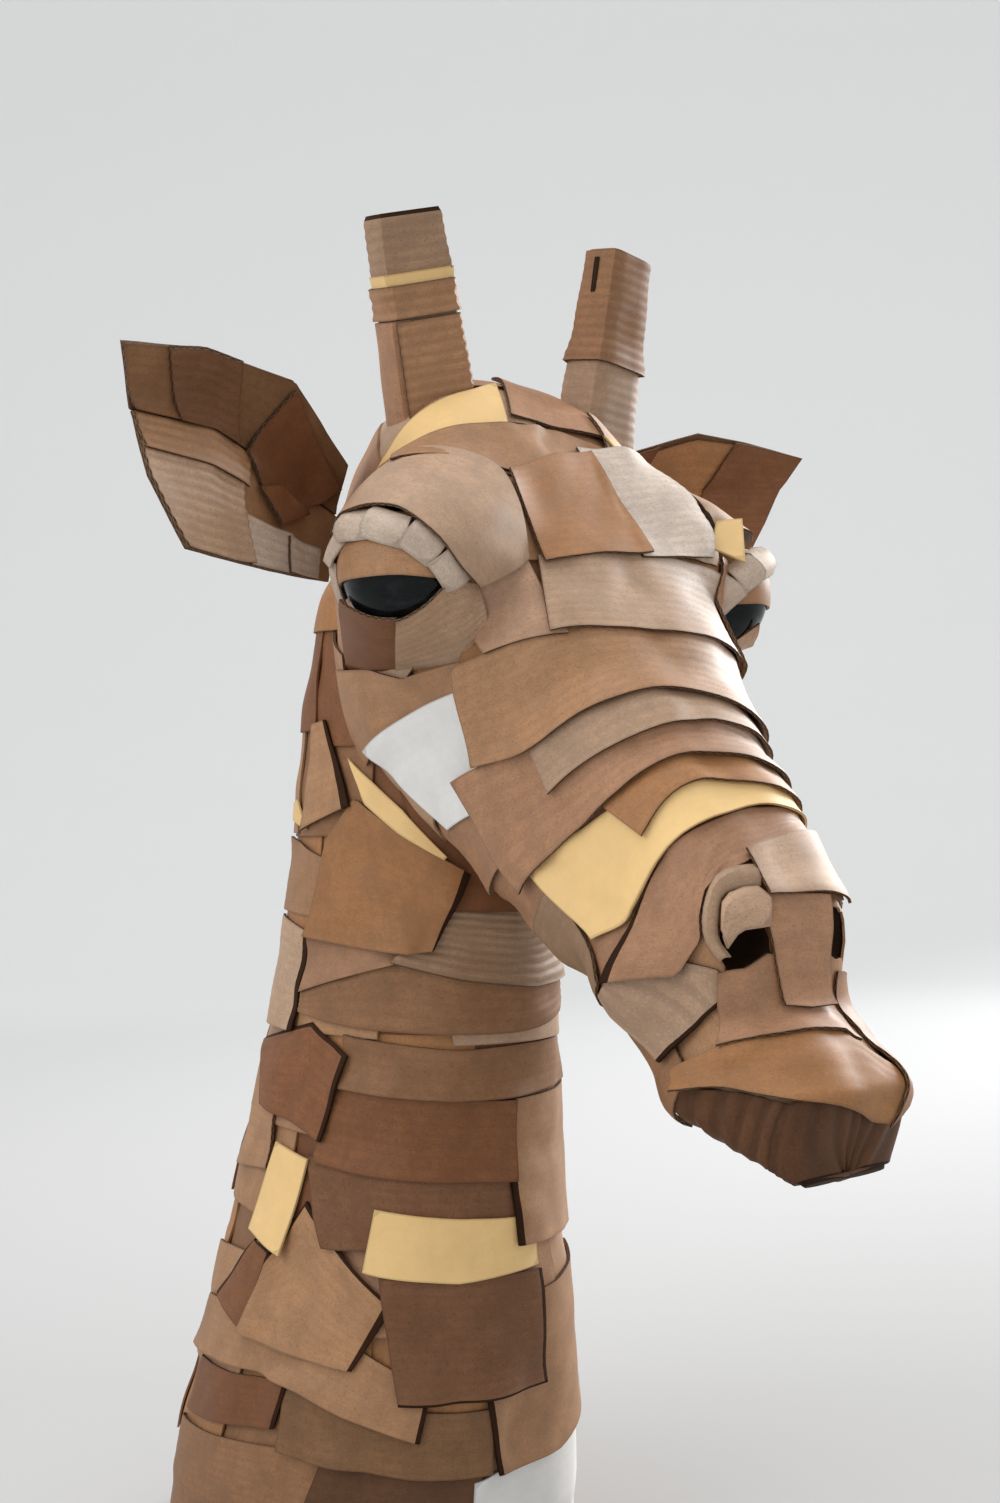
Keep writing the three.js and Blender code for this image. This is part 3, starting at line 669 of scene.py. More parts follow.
def card_finish(name, color, flecks=1.0, stain=0.35, rough=0.57, grain=0.07, patchy=1.0):
    """A card: mottled, with light and dark fibres, faint ribs with painted shade in their hollows, soft
    stains, a painted pale sheen where marked, and painted shade along its edges.
    """
    card = Finish(name, next(sheen for light, sheen in SHEEN if color[0] > light))
    body, plan = card.body(), card.plan()
    def shade(factor):
        return tuple(min(part * factor, 1.0) for part in color) + (1.0,)
    def over(tint, share, amount, factor):
        """The tint, with a darker or lighter shade of the card over it by a share."""
        return card.mix(card.times(share, amount), tint, shade(factor))

    mottle = card.noise(body, None, 55, 5, 0.6)
    tint = card.mix(card.between(mottle, 0.3, 0.7), shade(1 - 0.15 * patchy), shade(1 + 0.13 * patchy))
    cloud = card.noise(body, (1, 1.2, 0.8), 150, 6, 0.75)
    tint = over(tint, card.between(cloud, 0.47, 0.66), 0.45 * patchy, 0.76)
    darker = card.mix(1.0, tint, DARKER, "MULTIPLY")
    lighter = card.mix(1.0, tint, LIGHTER, "MULTIPLY")
    tint = card.mix(card.line(card.mark("tone"), 0.5, 0.5), darker, lighter)

    # Painted shade in the hollows between the ribs, stronger where the ribs are deeper
    wave = card.math("COSINE", card.times(card.part(plan, 1), RIB_TURNS))
    hollow_shade = card.times(card.between(wave, 0.3, -0.9), card.mark("ribbed"))
    here_and_there = card.line(card.between(mottle, 0.35, 0.6), 0.5, 0.12)
    tint = over(tint, card.times(hollow_shade, here_and_there), 0.75 * patchy, 0.62)
    streak = card.noise(plan, (110, 1300, 1), 1.0, 3, 0.6)
    # A painted sheen: the card turns pale where marked, in streaks, most on the rib crests
    painted_sheen_share = card.times(card.mark("painted_sheen"), card.line(streak, 0.9, 0.35))
    painted_sheen_share = card.times(painted_sheen_share, card.line(card.between(wave, -0.6, 0.8), 0.3, 0.7), clamp=True)
    tint = card.mix(painted_sheen_share, tint, PAINTED_SHEEN_TINT)

    tint = over(tint, card.between(streak, 0.42, 0.7), 0.3 * flecks, 0.68)
    fibre = card.noise(plan, (420, 1500, 1), 1.0, 2, 0.5)
    tint = over(tint, card.between(fibre, 0.55, 0.68), 0.3 * flecks, 1.4)
    fleck = card.noise(body, (1.1, 0.9, 1.3), 620, 2, 0.5)
    tint = over(tint, card.between(fleck, 0.56, 0.68), 0.5 * flecks, 0.6)
    stains = card.noise(body, (1, 1.3, 0.9), 21, 4, 0.62)
    tint = over(tint, card.between(stains, 0.56, 0.74), stain, 0.62)
    # Painted shade along the sheet's edges: a dark line for the shadow at each edge
    tint = over(tint, card.between(card.mark("edge"), 1.3, 0.3), 0.45, 0.45)
    card.feed(card.shader["Base Color"], tint)
    card.feed(card.shader["Roughness"], card.line(mottle, 0.28, rough - 0.14))
    grit = card.noise(body, None, 520)
    card.bump(card.math("ADD", card.times(grit, 0.5), card.times(streak, 0.6)), grain, 0.0006)
    return card.material


def cut_edge_finish():
    """The cut edge of corrugated board: two liners and the wave between them, with painted shade in the
    hollows.
    """
    cut = Finish("cut_edge", 0.2, 0.9)
    plan = cut.plan()
    turns = cut.times(cut.math("ADD", cut.part(plan, 0), cut.part(plan, 1)), RIB_TURNS)
    wave = cut.line(cut.math("SINE", turns), 0.34, 0.5)
    depth = cut.mark("depth")
    from_wave = cut.math("ABSOLUTE", cut.math("SUBTRACT", depth, wave))
    from_middle = cut.math("ABSOLUTE", cut.math("SUBTRACT", depth, 0.5))
    paper = cut.math("MAXIMUM", cut.between(from_wave, 0.16, 0.08), cut.between(from_middle, 0.38, 0.42))
    # Near black between the liners and the wave: painted shade in the board's hollows
    tint = cut.mix(paper, (0.03, 0.018, 0.011, 1), (0.27, 0.155, 0.085, 1))
    fray = cut.times(cut.noise(cut.body(), None, 700), 0.5)
    cut.feed(cut.shader["Base Color"], cut.mix(fray, tint, (0.09, 0.05, 0.028, 1)))
    return cut.material


def gloss_black_finish():
    """The painted ball of an eye, glossy black with faint smears."""
    gloss = Finish("gloss_black", 0.18)
    smear = gloss.noise(gloss.body(), (1, 1, 3), 60, 4, 0.6)
    tint = gloss.mix(gloss.between(smear, 0.45, 0.8), (0.0035, 0.0045, 0.005, 1), (0.014, 0.018, 0.021, 1))
    gloss.feed(gloss.shader["Base Color"], tint)
    gloss.feed(gloss.shader["Roughness"], gloss.line(smear, 0.22, 0.05))
    gloss.bump(smear, 0.08, 0.0008)
    return gloss.material


# Each card's colour and the material slot that it belongs to
CARDS = {
    "kraft": ((0.405, 0.216, 0.106), "kraft_board"),
    "salmon": ((0.5, 0.3, 0.19), "kraft_board"),
    "rosy": ((0.405, 0.213, 0.115), "kraft_board"),
    "golden": ((0.4, 0.187, 0.07), "kraft_board"),
    "pale": ((0.475, 0.31, 0.2), "pale_board"),
    "grey": ((0.325, 0.2, 0.118), "pale_board"),
    "brown": ((0.212, 0.088, 0.038), "brown_board"),
    "dark": ((0.102, 0.043, 0.018), "brown_board"),
    # Near black: painted shade for the forms under the sheets, where they show through gaps and in the
    # nostril pits
    "hollow_shade": ((0.045, 0.025, 0.016), "brown_board"),
    "umber": ((0.175, 0.082, 0.04), "brown_board"),
    "cocoa": ((0.13, 0.061, 0.029), "brown_board"),
    "toffee": ((0.205, 0.107, 0.051), "brown_board"),
    "tan": ((0.27, 0.138, 0.068), "kraft_board"),
    # Painted shade, for crushed open ends and slits
    "shade": ((0.04, 0.018, 0.009), "brown_board"),
    # Pale card lightened further for a painted sheen, on the brow rolls and the ear's root
    "pale_and_sheen": ((0.6, 0.48, 0.38), "pale_board"),
    # Whitish: a painted sheen, on the far brow
    "painted_sheen_grey": ((0.6, 0.5, 0.42), "pale_board"),
    "yellow": ((0.84, 0.575, 0.255), "yellow_card"),
    "white": ((0.76, 0.755, 0.745), "white_card"),
}
# The cards in the first layers of the head and the neck
HEAD_KRAFTS = ("kraft", "rosy", "pale", "golden", "brown", "grey")
NECK_KRAFTS = ("kraft", "tan", "rosy", "golden", "brown")
# Plain card has few fibres and no stains
PLAIN = dict(flecks=0.1, stain=0.0, rough=0.6, grain=0.03, patchy=0.25)
SLOT_OF = {name: slot for name, (color, slot) in CARDS.items()}
SLOT_OF["gloss_black"] = "gloss_black"
MATERIALS = {"cut_edge": cut_edge_finish(), "gloss_black": gloss_black_finish()}
for card_name, (card_color, card_slot) in CARDS.items():
    look = PLAIN if card_name in PLAIN_CARDS else {}
    MATERIALS[card_name] = card_finish(card_name + "_card", card_color, **look)


# The forms under the sheets

def ball(name, segments, rings):
    deselect()
    bpy.ops.mesh.primitive_uv_sphere_add(segments=segments, ring_count=rings, radius=1)
    piece = bpy.context.object
    piece.name = name
    return piece, read_vectors(piece.data.vertices).astype(float)


def skin(name, point, first, last, ends, segments, rings, card, node):
    """A closed form round a middle line, shaped from a ball whose rings become its stations."""
    piece, place = ball(name, segments, rings)
    ring = np.degrees(np.arccos(np.clip(place[:, 2], -1, 1))) * rings / 180
    station = first + (last - first) * np.clip((ring - 1) / (rings - 2), 0, 1)
    around = np.degrees(np.arctan2(place[:, 0], place[:, 1]))
    where = point(station, around)
    where[ring < 0.5] = ends[0]
    where[ring > rings - 0.5] = ends[1]
    fill_vertices(piece, where)
    bpy.ops.object.mode_set(mode="EDIT")
    bpy.ops.mesh.select_all(action="SELECT")
    bpy.ops.mesh.normals_make_consistent(inside=False)
    bpy.ops.object.mode_set(mode="OBJECT")
    set_sheet_map(piece, station, around)
    set_attribute(piece.data, "edge", np.full(len(where), 9.0))
    # The darkest tone, part of the painted shade on the forms under the sheets
    set_attribute(piece.data, "tone", np.full(len(where), -1.0))
    bpy.ops.object.shade_smooth_by_angle(angle=math.radians(50))
    piece.data.materials.append(MATERIALS[card])
    finish_piece(piece, node)


def make_eyeball(side):
    piece, place = ball(SIDE_NAMES[side] + "_eyeball", 64, 40)
    fill_vertices(piece, place * EYE["radius"] + eye_centre(side))
    bpy.ops.object.shade_smooth()
    piece.data.materials.append(MATERIALS["gloss_black"])
    finish_piece(piece, SIDE_NAMES[side] + "_eye")


def sunk(place, centre, radii, axes, into):
    """Points inside an ellipsoid are pushed along one direction to its far wall."""
    off = (place - centre) @ axes / radii
    push = (into @ axes) / radii
    inside = (off ** 2).sum(-1) < 1
    a = (push ** 2).sum()
    b = 2 * (off @ push)
    c = (off ** 2).sum(-1) - 1
    t = (-b + np.sqrt(np.clip(b * b - 4 * a * c, 0, None))) / (2 * a)
    return np.where(inside[:, None], place + t[:, None] * into, place)


def neck_skin_point(up, around):
    return neck_point(up, around, -INSET)


def head_skin_point(along, around):
    """Point on the head under its sheets, with rooms for the eyes and the nostrils."""
    place = head_point(along, around, -INSET)
    for side in (RIGHT, LEFT):
        look = eye_point(side)(0, 0) - eye_centre(side)
        look /= np.linalg.norm(look)
        place = sunk(place, eye_centre(side), np.full(3, EYE_ROOM), np.eye(3), -look)
        centre, forward, across, outward = nostril_frame(side)
        radii = np.array(NOSTRIL["half_size"]) * NOSTRIL["room"]
        place = sunk(place, centre, radii, np.stack([forward, across, outward], -1), -outward)
    return place


def make_forms():
    head_ends = (from_head_frame(0.0, SKULL_BACK, -50.0), from_head_frame(0.0, NOSE_END, -41.0))
    neck_ends = ((0, 0, 0), (0, -88, NECK_TOP))
    # The head and neck forms take the near-black card: painted shade where they show through gaps
    skin("head_skin", head_skin_point, SKULL_BACK, NOSE_END, head_ends, 144, 150, "hollow_shade", "head")
    skin("neck_skin", neck_skin_point, 0.0, NECK_TOP, neck_ends, 96, 60, "hollow_shade", "neck")
    make_eyeball(RIGHT)
    make_eyeball(LEFT)


def cover(prefix, surface, stations, tall, arc, cards, openings=()):
    """A first layer of plain sheets, row by row, each over the edge of the last."""
    lowest = surface.first[0] + 1
    for row, station in enumerate(stations):
        start = -180 + draw.uniform(0, LAP)
        sheets = []
        while start < 180:
            through = surface.point(station, start + 20) - surface.point(station, start + 200)
            turn = np.degrees(arc * draw.uniform(0.75, 1.25) / max(np.linalg.norm(through) / 2, 25))
            end = min(start + turn, 180)
            slant = draw.uniform(-7, 7, 4)
            low, high = max(station - LAP + slant[0], lowest), station + tall + slant[1]
            before = start - LAP * 0.6
            top = [(high + slant[2] * 0.5, before), (high, end)]
            bottom = [(low, before + slant[3] * 0.4), (max(low + slant[2] * 0.5, lowest), end)]
            card = cards[int(draw.integers(len(cards)))]
            rib = draw.uniform(0.15, 0.3) if draw.random() < 0.25 else 0
            ribs = "across" if draw.random() < 0.3 else "down"
            name = f"{prefix}_{row + 1}_{len(sheets) + 1}"
            sheets.append(lay(name, surface, card, top, bottom, ribs, rib, THIN, openings=openings,
                              part_of_row=True))
            start = end
        pick(*sheets)
        bpy.ops.object.join()
        sheets[0].name = f"{prefix}_{row + 1}"
        finish_piece(sheets[0])


# Sheets that show, in the order they were glued: each list runs from the lowest to the topmost. A sheet has
# its name, its card, its top edge, its bottom edge and its settings, where node is the solid that it stands
# for. On the head a corner is (along, around).
MUZZLE_SHEETS = [
    ("lower_lip_side_card", "dark", [(282, 118), (312, 74), (332, 52)], [(300, 150), (342, 128), (357, 96)],
     dict(ribs="down", rib=1.5, pitch=15.0, lift=FLAT, tone=1)),
    ("lower_lip_front_card", "dark", [(330, 56), (343, 0), (330, -56)], [(361, 110), (363.5, 0),
     (361, -110)], dict(ribs="down", rib=1.5, pitch=15.0, lift=FLAT, tone=0.6)),
    ("far_lower_lip_card", "umber", [(332, -52), (312, -74), (282, -118)], [(357, -96), (342, -132),
     (300, -158)], dict(rib=0.3)),
    ("chin_card", "brown", [(236, 150), (240, 180), (236, 210)], [(318, 140), (332, 180), (318, 220)],
     dict(rib=0, lift=FLAT)),
    ("jaw_corner_card", "tan", [(224, 118), (236, 150)], [(292, 92), (304, 140)], dict(tone=0.6, lift=FLAT)),
    ("far_jaw_corner_card", "umber", [(236, -150), (224, -118)], [(304, -140), (292, -92)], dict()),
    ("upper_lip_card", "golden", [(283, 101), (288, 70), (294, 48), (297, 12), (301, -16), (316, -26),
     (326, -42)], [(292, 103), (307, 77), (321, 62), (334, 46), (341, 26), (347, -6), (350, -44)],
     dict(rib=0.08, base=1.5, lift=(0.4, 3.0, 0.3, 1.5), smooth=True, node="upper_lip_band", tone=-0.4)),
    ("far_upper_lip_card", "rosy", [(268, -34), (262, -88)], [(352, -42), (306, -100)],
     dict(lift=(0.5, 2, 0, 0))),
    ("muzzle_lower_card", "rosy", [(193, 120), (198, 63)], [(232, 133), (226, 110)], dict(tone=-0.5)),
    ("side_lip_card", "pale", [(221, 100), (243, 70), (256, 56), (270, 50)], [(225, 122), (236, 128),
     (256, 120), (275, 109)], dict(rib=0.5, pitch=12.0, lift=(0.5, 1.0, 0.5, 2.0), open_ends=(0, 0, 0, 2.5),
     node="side_lip_patch", tone=-0.6)),
    ("lip_front_card", "rosy", [(259, 56), (261, 42), (258, 27), (267, 2), (274, -16), (284, -30)],
     [(288, 70), (293, 54), (296, 34), (298, 8), (300, -14), (306, -30)], dict(rib=0.05,
     lift=(0, 1.0, 0.4, 0.2), tone=-0.1)),
    ("septum_card", "rosy", [(232, 26), (235, 7), (238, -14)], [(282, 25), (285, 2), (285, -24)], dict(rib=0,
     lift=(0, 1.0, 0.6, 0.6), node="septum_strip", stiff=4, tone=0.6)),
    ("muzzle_side_card", "rosy", [(198, 63), (189, 50), (185, 32), (179, 2), (180, -24), (181, -40),
     (184, -80)], [(223, 114), (249, 74), (241, 57), (231, 53), (220, 46), (215, 37), (213, 24), (204, 2),
     (200, -22), (199, -36), (202, -80)], dict(rib=0.07, lift=(0.2, 1.0, 1.2, 0.4), open_ends=(0, 0, 3.5, 0),
     node="muzzle_side_patch", tone=-0.2)),
    ("far_muzzle_side_card", "kraft", [(184, -74), (200, -124)], [(244, -72), (236, -124)], dict()),
    ("nostril_outer_roll", "pale", [(216, 19), (215, 37), (226, 48), (242, 55), (254, 53)], [(228, 23),
     (226, 39), (236, 46), (245, 49), (254, 47)], dict(rib=0, thick=THIN, base=1.0, bulge=2.5, lift=FLAT,
     stiff=4, smooth=True, tone=-0.3)),
    ("nostril_inner_roll", "pale", [(242, 47), (228, 40), (228, 26), (234, 22)], [(251, 47), (246, 39),
     (248, 30), (249, 26)], dict(rib=0, thick=THIN, base=0.5, bulge=3.5, lift=FLAT, stiff=4, smooth=True,
     tone=0.8)),
    ("nose_bridge_card", "pale", [(206, 21), (199, -8), (195, -34)], [(235, 22), (237, -6), (238, -37)],
     dict(rib=0.06, lift=(0.3, 1.0, 0.6, 0), node="nose_bridge_patch", tone=0.5)),
]
# The bridge and snout strips with a sheen setting fade pale towards the far side: a painted sheen
BRIDGE_SHEETS = [
    ("jaw_side_card", "rosy", [(116, 150), (122, 122), (142, 116)], [(182, 152), (186, 126), (180, 112)],
     dict(rib=0.06)),
    ("jaw_front_side_card", "grey", [(160, 146), (158, 112)], [(228, 150), (222, 116)], dict(rib=0.08)),
    ("snout_yellow_card", "yellow", [(142, 119), (152, 62), (158, 30), (162, 0), (166, -36), (168, -58)],
     [(199, 110), (206, 84), (188, 47), (183, 22), (179, 0), (183, -33), (184, -58)], dict(smooth=True,
     rib=0, thick=THIN, lift=(0.2, 1.3, 0.4, 0.4), node="snout_yellow")),
    ("snout_brown_card", "golden", [(144, 66), (141, 45), (138, 20), (142, -10), (148, -36), (150, -72)],
     [(177, 57), (164, 38), (161, 20), (166, 0), (172, -35), (173, -72)], dict(smooth=True, rib=0.1,
     lift=(0.2, 1.3, 0.8, 0.4), node="snout_brown_strip", painted_sheen=0.5)),
    ("cheek_front_card", "rosy", [(80, 142), (90, 112)], [(122, 150), (128, 118)], dict(rib=0.06,
     lift=(0.3, 2, 0.3, 1))),
    ("temple_card", "rosy", [(-120, 150), (-52, 128)], [(-60, 178), (6, 152)], dict(rib=0)),
    ("cheek_side_card", "kraft", [(-54, 135), (-22, 118), (8, 104), (34, 76)], [(-2, 152), (20, 124),
     (48, 84)], dict(rib=0.05, lift=(0.2, 0.6, 0.5, 0.3))),
    ("small_cheek_card", "golden", [(26, 74), (38, 66)], [(32, 80), (44, 70)], dict(rib=0, thick=THIN)),
    ("white_cheek_card", "white", [(2, 140), (44, 86)], [(82, 137), (102, 108)], dict(rib=0, thick=1.2,
     lift=(0.2, 0.4, 0.8, 0.2), node="white_cheek_patch")),
    ("snout_slanted_card", "rosy", [(72, 117), (82, 99), (100, 70), (108, 36), (108, 0), (122, -35),
     (126, -92)], [(146, 130), (148, 98), (150, 62), (146, 45), (143, 20), (148, -8), (156, -36),
     (158, -92)], dict(smooth=True, rib=0.14, lift=(0.3, 1.5, 0.7, 0.5), node="snout_slanted_strip",
     painted_sheen=0.65)),
    ("snout_pale_card", "pale", [(99, 77), (100, 40), (96, 0), (110, -34), (112, -84)], [(124, 82),
     (124, 60), (126, 40), (124, 20), (122, 0), (129, -34), (131, -84)], dict(smooth=True, rib=0.18,
     lift=(0.3, 1.4, 0.9, 0.5), node="snout_pale_strip", painted_sheen=0.65)),
    ("snout_wide_card", "kraft", [(32, 83), (44, 62), (46, 40), (50, 10), (58, -34), (60, -80)], [(80, 103),
     (100, 76), (101, 55), (102, 37), (101, 18), (104, -4), (115, -34), (118, -80)], dict(smooth=True,
     rib=0.13, lift=(0.2, 1.6, 0.5, 0.5), node="snout_wide_strip", stiff=12, painted_sheen=0.65)),
    ("cheek_salmon_card", "salmon", [(4, 72), (-2, 42)], [(42, 69), (56, 42)], dict(rib=0,
     lift=(0.1, 0.3, 0.6, 0.3), tone=0)),
    ("bridge_card", "pale", [(2, 38), (-4, 2), (-4, -34), (0, -56)], [(53, 47), (57, 20), (61, -33),
     (63, -62)], dict(smooth=True, rib=0.2, lift=(0.2, 1.0, 0.8, 0.3), node="bridge_patch", stiff=12,
     painted_sheen=0.65)),
    ("far_bridge_card", "rosy", [(-12, -50), (-4, -74)], [(66, -52), (60, -92)], dict(rib=0.2, painted_sheen=0.65)),
]
CROWN_SHEETS = [
    ("nape_crown_card", "kraft", [(-186, -60), (-188, 0), (-186, 60)], [(-146, -48), (-148, 0), (-144, 54)],
     dict(rib=0)),
    ("crown_dark_card", "rosy", [(-168, 4), (-162, -40)], [(-112, 18), (-108, -30)], dict(rib=0,
     lift=(1, 0.5, 1.6, 0.4))),
    ("forehead_yellow_card", "yellow", [(-148, 13), (-128, 52), (-114, 74)], [(-101, 22), (-97, 38),
     (-103, 70)], dict(rib=0, thick=THIN, node="forehead_yellow")),
    ("brow_strip_card", "golden", [(-112, 72), (-104, 54), (-96, 36)], [(-86, 70), (-84, 54), (-80, 36)],
     dict(rib=0)),
    ("crown_patch_card", "kraft", [(-103, 62), (-102, 40), (-104, 20), (-108, -6), (-98, -26)], [(-84, 62),
     (-62, 34), (-74, 10), (-84, -8), (-88, -30)], dict(smooth=True, rib=0, lift=(0.5, 0.4, 1.4, 0.8),
     node="crown_patch")),
    ("far_crown_card", "pale", [(-132, -30), (-124, -62)], [(-94, -26), (-88, -66)], dict(rib=0,
     lift=(0.6, 0, 0.6, 0))),
    ("far_crown_yellow_card", "yellow", [(-104, -26), (-92, -56)], [(-94, -28), (-82, -54)], dict(rib=0,
     thick=1.2, lift=FLAT)),
    ("far_forehead_card", "pale", [(-92, -30), (-84, -66)], [(-6, -32), (-4, -58)], dict(rib=0.08)),
    ("far_forehead_yellow_card", "yellow", [(-30, -37), (-28, -43)], [(-8, -37), (-8, -42)], dict(rib=0,
     thick=1.2)),
    # A whitish card at its lightest tone: painted sheen where the brow turns away
    ("far_brow_card", "painted_sheen_grey", [(-92, -10), (-94, -44)], [(0, -12), (-6, -44)], dict(rib=0.12, lift=FLAT,
     tone=1)),
    ("forehead_card", "golden", [(-58, 33), (-76, 11), (-84, -8), (-88, -15)], [(9, 37), (2, 12), (-1, -10),
     (-3, -17)], dict(rib=0.1, lift=(0.3, 0.4, 0.9, 0.3), node="forehead_patch", tone=-0.3, stiff=14)),
]
# On the neck a corner is (up, around)
NECK_SHEETS = [
    ("neck_foot_left_card", "tan", [(97, 130), (119, 63), (116, 50)], [(2, 128), (2, 62)],
     dict(open_ends=(0, 0, 3.5, 3.5))),
    ("neck_foot_middle_card", "cocoa", [(123, 50), (117, 27), (116, 10)], [(2, 64), (2, 10)], dict()),
    ("neck_foot_white_card", "white", [(106, 12), (124, -40)], [(2, 12), (2, -44)], dict(rib=0, thick=1.2,
     node="neck_foot_white")),
    ("neck_foot_band_card", "toffee", [(161, 68), (153, 42), (150, 7)], [(117, 66), (116, 40), (112, 27),
     (110, 8)], dict(lift=(0, 1.2, 0.5, 0.5))),
    ("neck_foot_side_card", "brown", [(144, 124), (159, 66)], [(101, 131), (128, 69)],
     dict(open_ends=(0, 0, 3.5, 3.5))),
    ("neck_foot_right_card", "kraft", [(209, 14), (226, -46)], [(108, 6), (112, -13), (136, -44)],
     dict(lift=(0, 2.5, 1, 0), open_ends=(0, 0, 4, 0), tone=-0.8)),
    ("neck_low_left_card", "kraft", [(222, 130), (231, 87)], [(143, 132), (179, 90)],
     dict(open_ends=(0, 0, 0, 4))),
    ("neck_low_kraft_card", "kraft", [(188, 124), (198, 60), (166, 24)], [(146, 133), (159, 72), (146, 44),
     (134, 26)], dict(smooth=True, lift=(0, 1.2, 0.5, 1.5), open_ends=(0, 0, 0, 3), tone=-0.4)),
    ("neck_side_brown_card", "brown", [(238, 98), (233, 84)], [(193, 117), (179, 90)], dict(rib=0,
     open_ends=(0, 0, 4, 5))),
    ("neck_pale_card", "kraft", [(229, 84), (272, 70), (215, 35)], [(180, 93), (177, 68), (175, 45)],
     dict(lift=(1.2, 0.6, 0.3, 1.2), open_ends=(2.5, 0, 0, 3.5), tone=0.2, node="neck_pale_patch")),
    ("neck_dark_card", "umber", [(233, 40), (229, -9)], [(157, 32), (157, 14), (157, -9)],
     dict(lift=(0, 1.8, 0.6, 1.5), open_ends=(0, 2, 0, 3.5), node="neck_dark_patch", tone=0.6)),
    ("neck_grey_card", "umber", [(300, 74), (292, 2)], [(246, 60), (250, 0)], dict(tone=1)),
    ("neck_yellow_small_card", "yellow", [(303, 94), (298, 72)], [(243, 102), (236, 77)], dict(rib=0,
     thick=THIN, lift=(0, 0.4, 0.3, 0.3), node="neck_yellow_small", stiff=14)),
    ("neck_yellow_wide_card", "yellow", [(274, 43), (268, 18), (264, -7)], [(235, 45), (229, 18), (232, -8)],
     dict(rib=0, thick=THIN, lift=(0.2, 0.4, 0.3, 0.3), node="neck_yellow_wide")),
    ("neck_edge_card", "kraft", [(338, 3), (338, -48)], [(248, 1), (242, -48)], dict(lift=(0, 1, 1.5, 0),
     open_ends=(0, 0, 4, 0), tone=-0.6)),
    ("neck_red_card", "brown", [(346, 72), (338, 0)], [(297, 69), (288, 1)], dict(rib=0.12,
     lift=(0, 0.6, 0.3, 0.4), node="neck_red_strip", tone=0.3)),
    ("neck_left_strip_card", "kraft", [(356, 128), (350, 100)], [(276, 130), (284, 98)],
     dict(lift=(0, 1, 0, 1))),
    ("neck_golden_card", "tan", [(378, 64), (371, 20), (372, -36)], [(345, 62), (340, 20), (341, -36)],
     dict(lift=(0, 0.8, 0.3, 0.3), node="neck_golden_strip", tone=0)),
    ("neck_side_card", "brown", [(364, 128), (383, 83), (366, 60)], [(323, 111), (318, 84), (310, 67)],
     dict(lift=(0, 0.6, 0.3, 1.6), open_ends=(2.5, 0, 0, 4), node="neck_side_patch", tone=0.8)),
    ("neck_light_strip_card", "pale", [(390, 24), (388, -36)], [(374, 22), (372, -36)], dict(rib=0,
     thick=1.2)),
    ("neck_wide_card", "tan", [(401, 95), (424, 45), (415, 20), (408, -8), (412, -34)], [(388, 94),
     (384, 66), (381, 18), (381, -7), (392, -34)], dict(smooth=True, rib=0.15, lift=(0, 0.8, 0.4, 0.4),
     tone=0.3)),
    ("neck_left_light_card", "pale", [(448, 128), (440, 96)], [(374, 128), (375, 96)], dict(rib=0.12,
     open_ends=(0, 0, 0, 4.5), lift=(0, 0, 0, 1))),
    ("neck_grey_side_card", "rosy", [(438, 95), (433, 39)], [(401, 94), (424, 45)], dict(tone=-1)),
    ("neck_ribbed_card", "grey", [(464, 26), (460, -18), (478, -34)], [(426, 46), (415, 20), (408, -7),
     (410, -34)], dict(rib=0.5, lift=(0, 0.8, 0.3, 0.3), node="neck_ribbed_patch", tone=0.3)),
    ("neck_throat_card", "brown", [(545, 50), (540, -30)], [(458, 26), (456, 0), (474, -34)],
     dict(lift=(0, 0.8, 1, 0.5))),
    ("neck_upper_left_card", "kraft", [(500, 127), (485, 80)], [(451, 128), (449, 73)],
     dict(open_ends=(0, 0, 0, 4), lift=(0, 0, 0, 1), tone=-1)),
    ("neck_upper_card", "golden", [(500, 87), (527, 68), (504, 44), (480, 19)], [(437, 95), (431, 40),
     (433, 31)], dict(lift=(0.3, 1.0, 0.3, 1.5), open_ends=(0, 0, 0, 4), node="neck_upper_patch",
     tone=-0.9)),
    ("throat_yellow_card", "yellow", [(552, 75), (538, 60), (520, 45), (491, 28)], [(547, 73), (523, 62),
     (505, 46), (489, 29)], dict(rib=0, thick=1.2, lift=FLAT)),
    ("nape_yellow_card", "yellow", [(522, 126), (525, 119)], [(511, 126), (505, 105)], dict(rib=0, thick=1.2,
     lift=FLAT)),
    ("nape_card", "kraft", [(574, 104), (577, 93)], [(505, 109), (522, 70)], dict(lift=(0, 1, 0, 1.5),
     open_ends=(0, 0, 0, 4))),
]
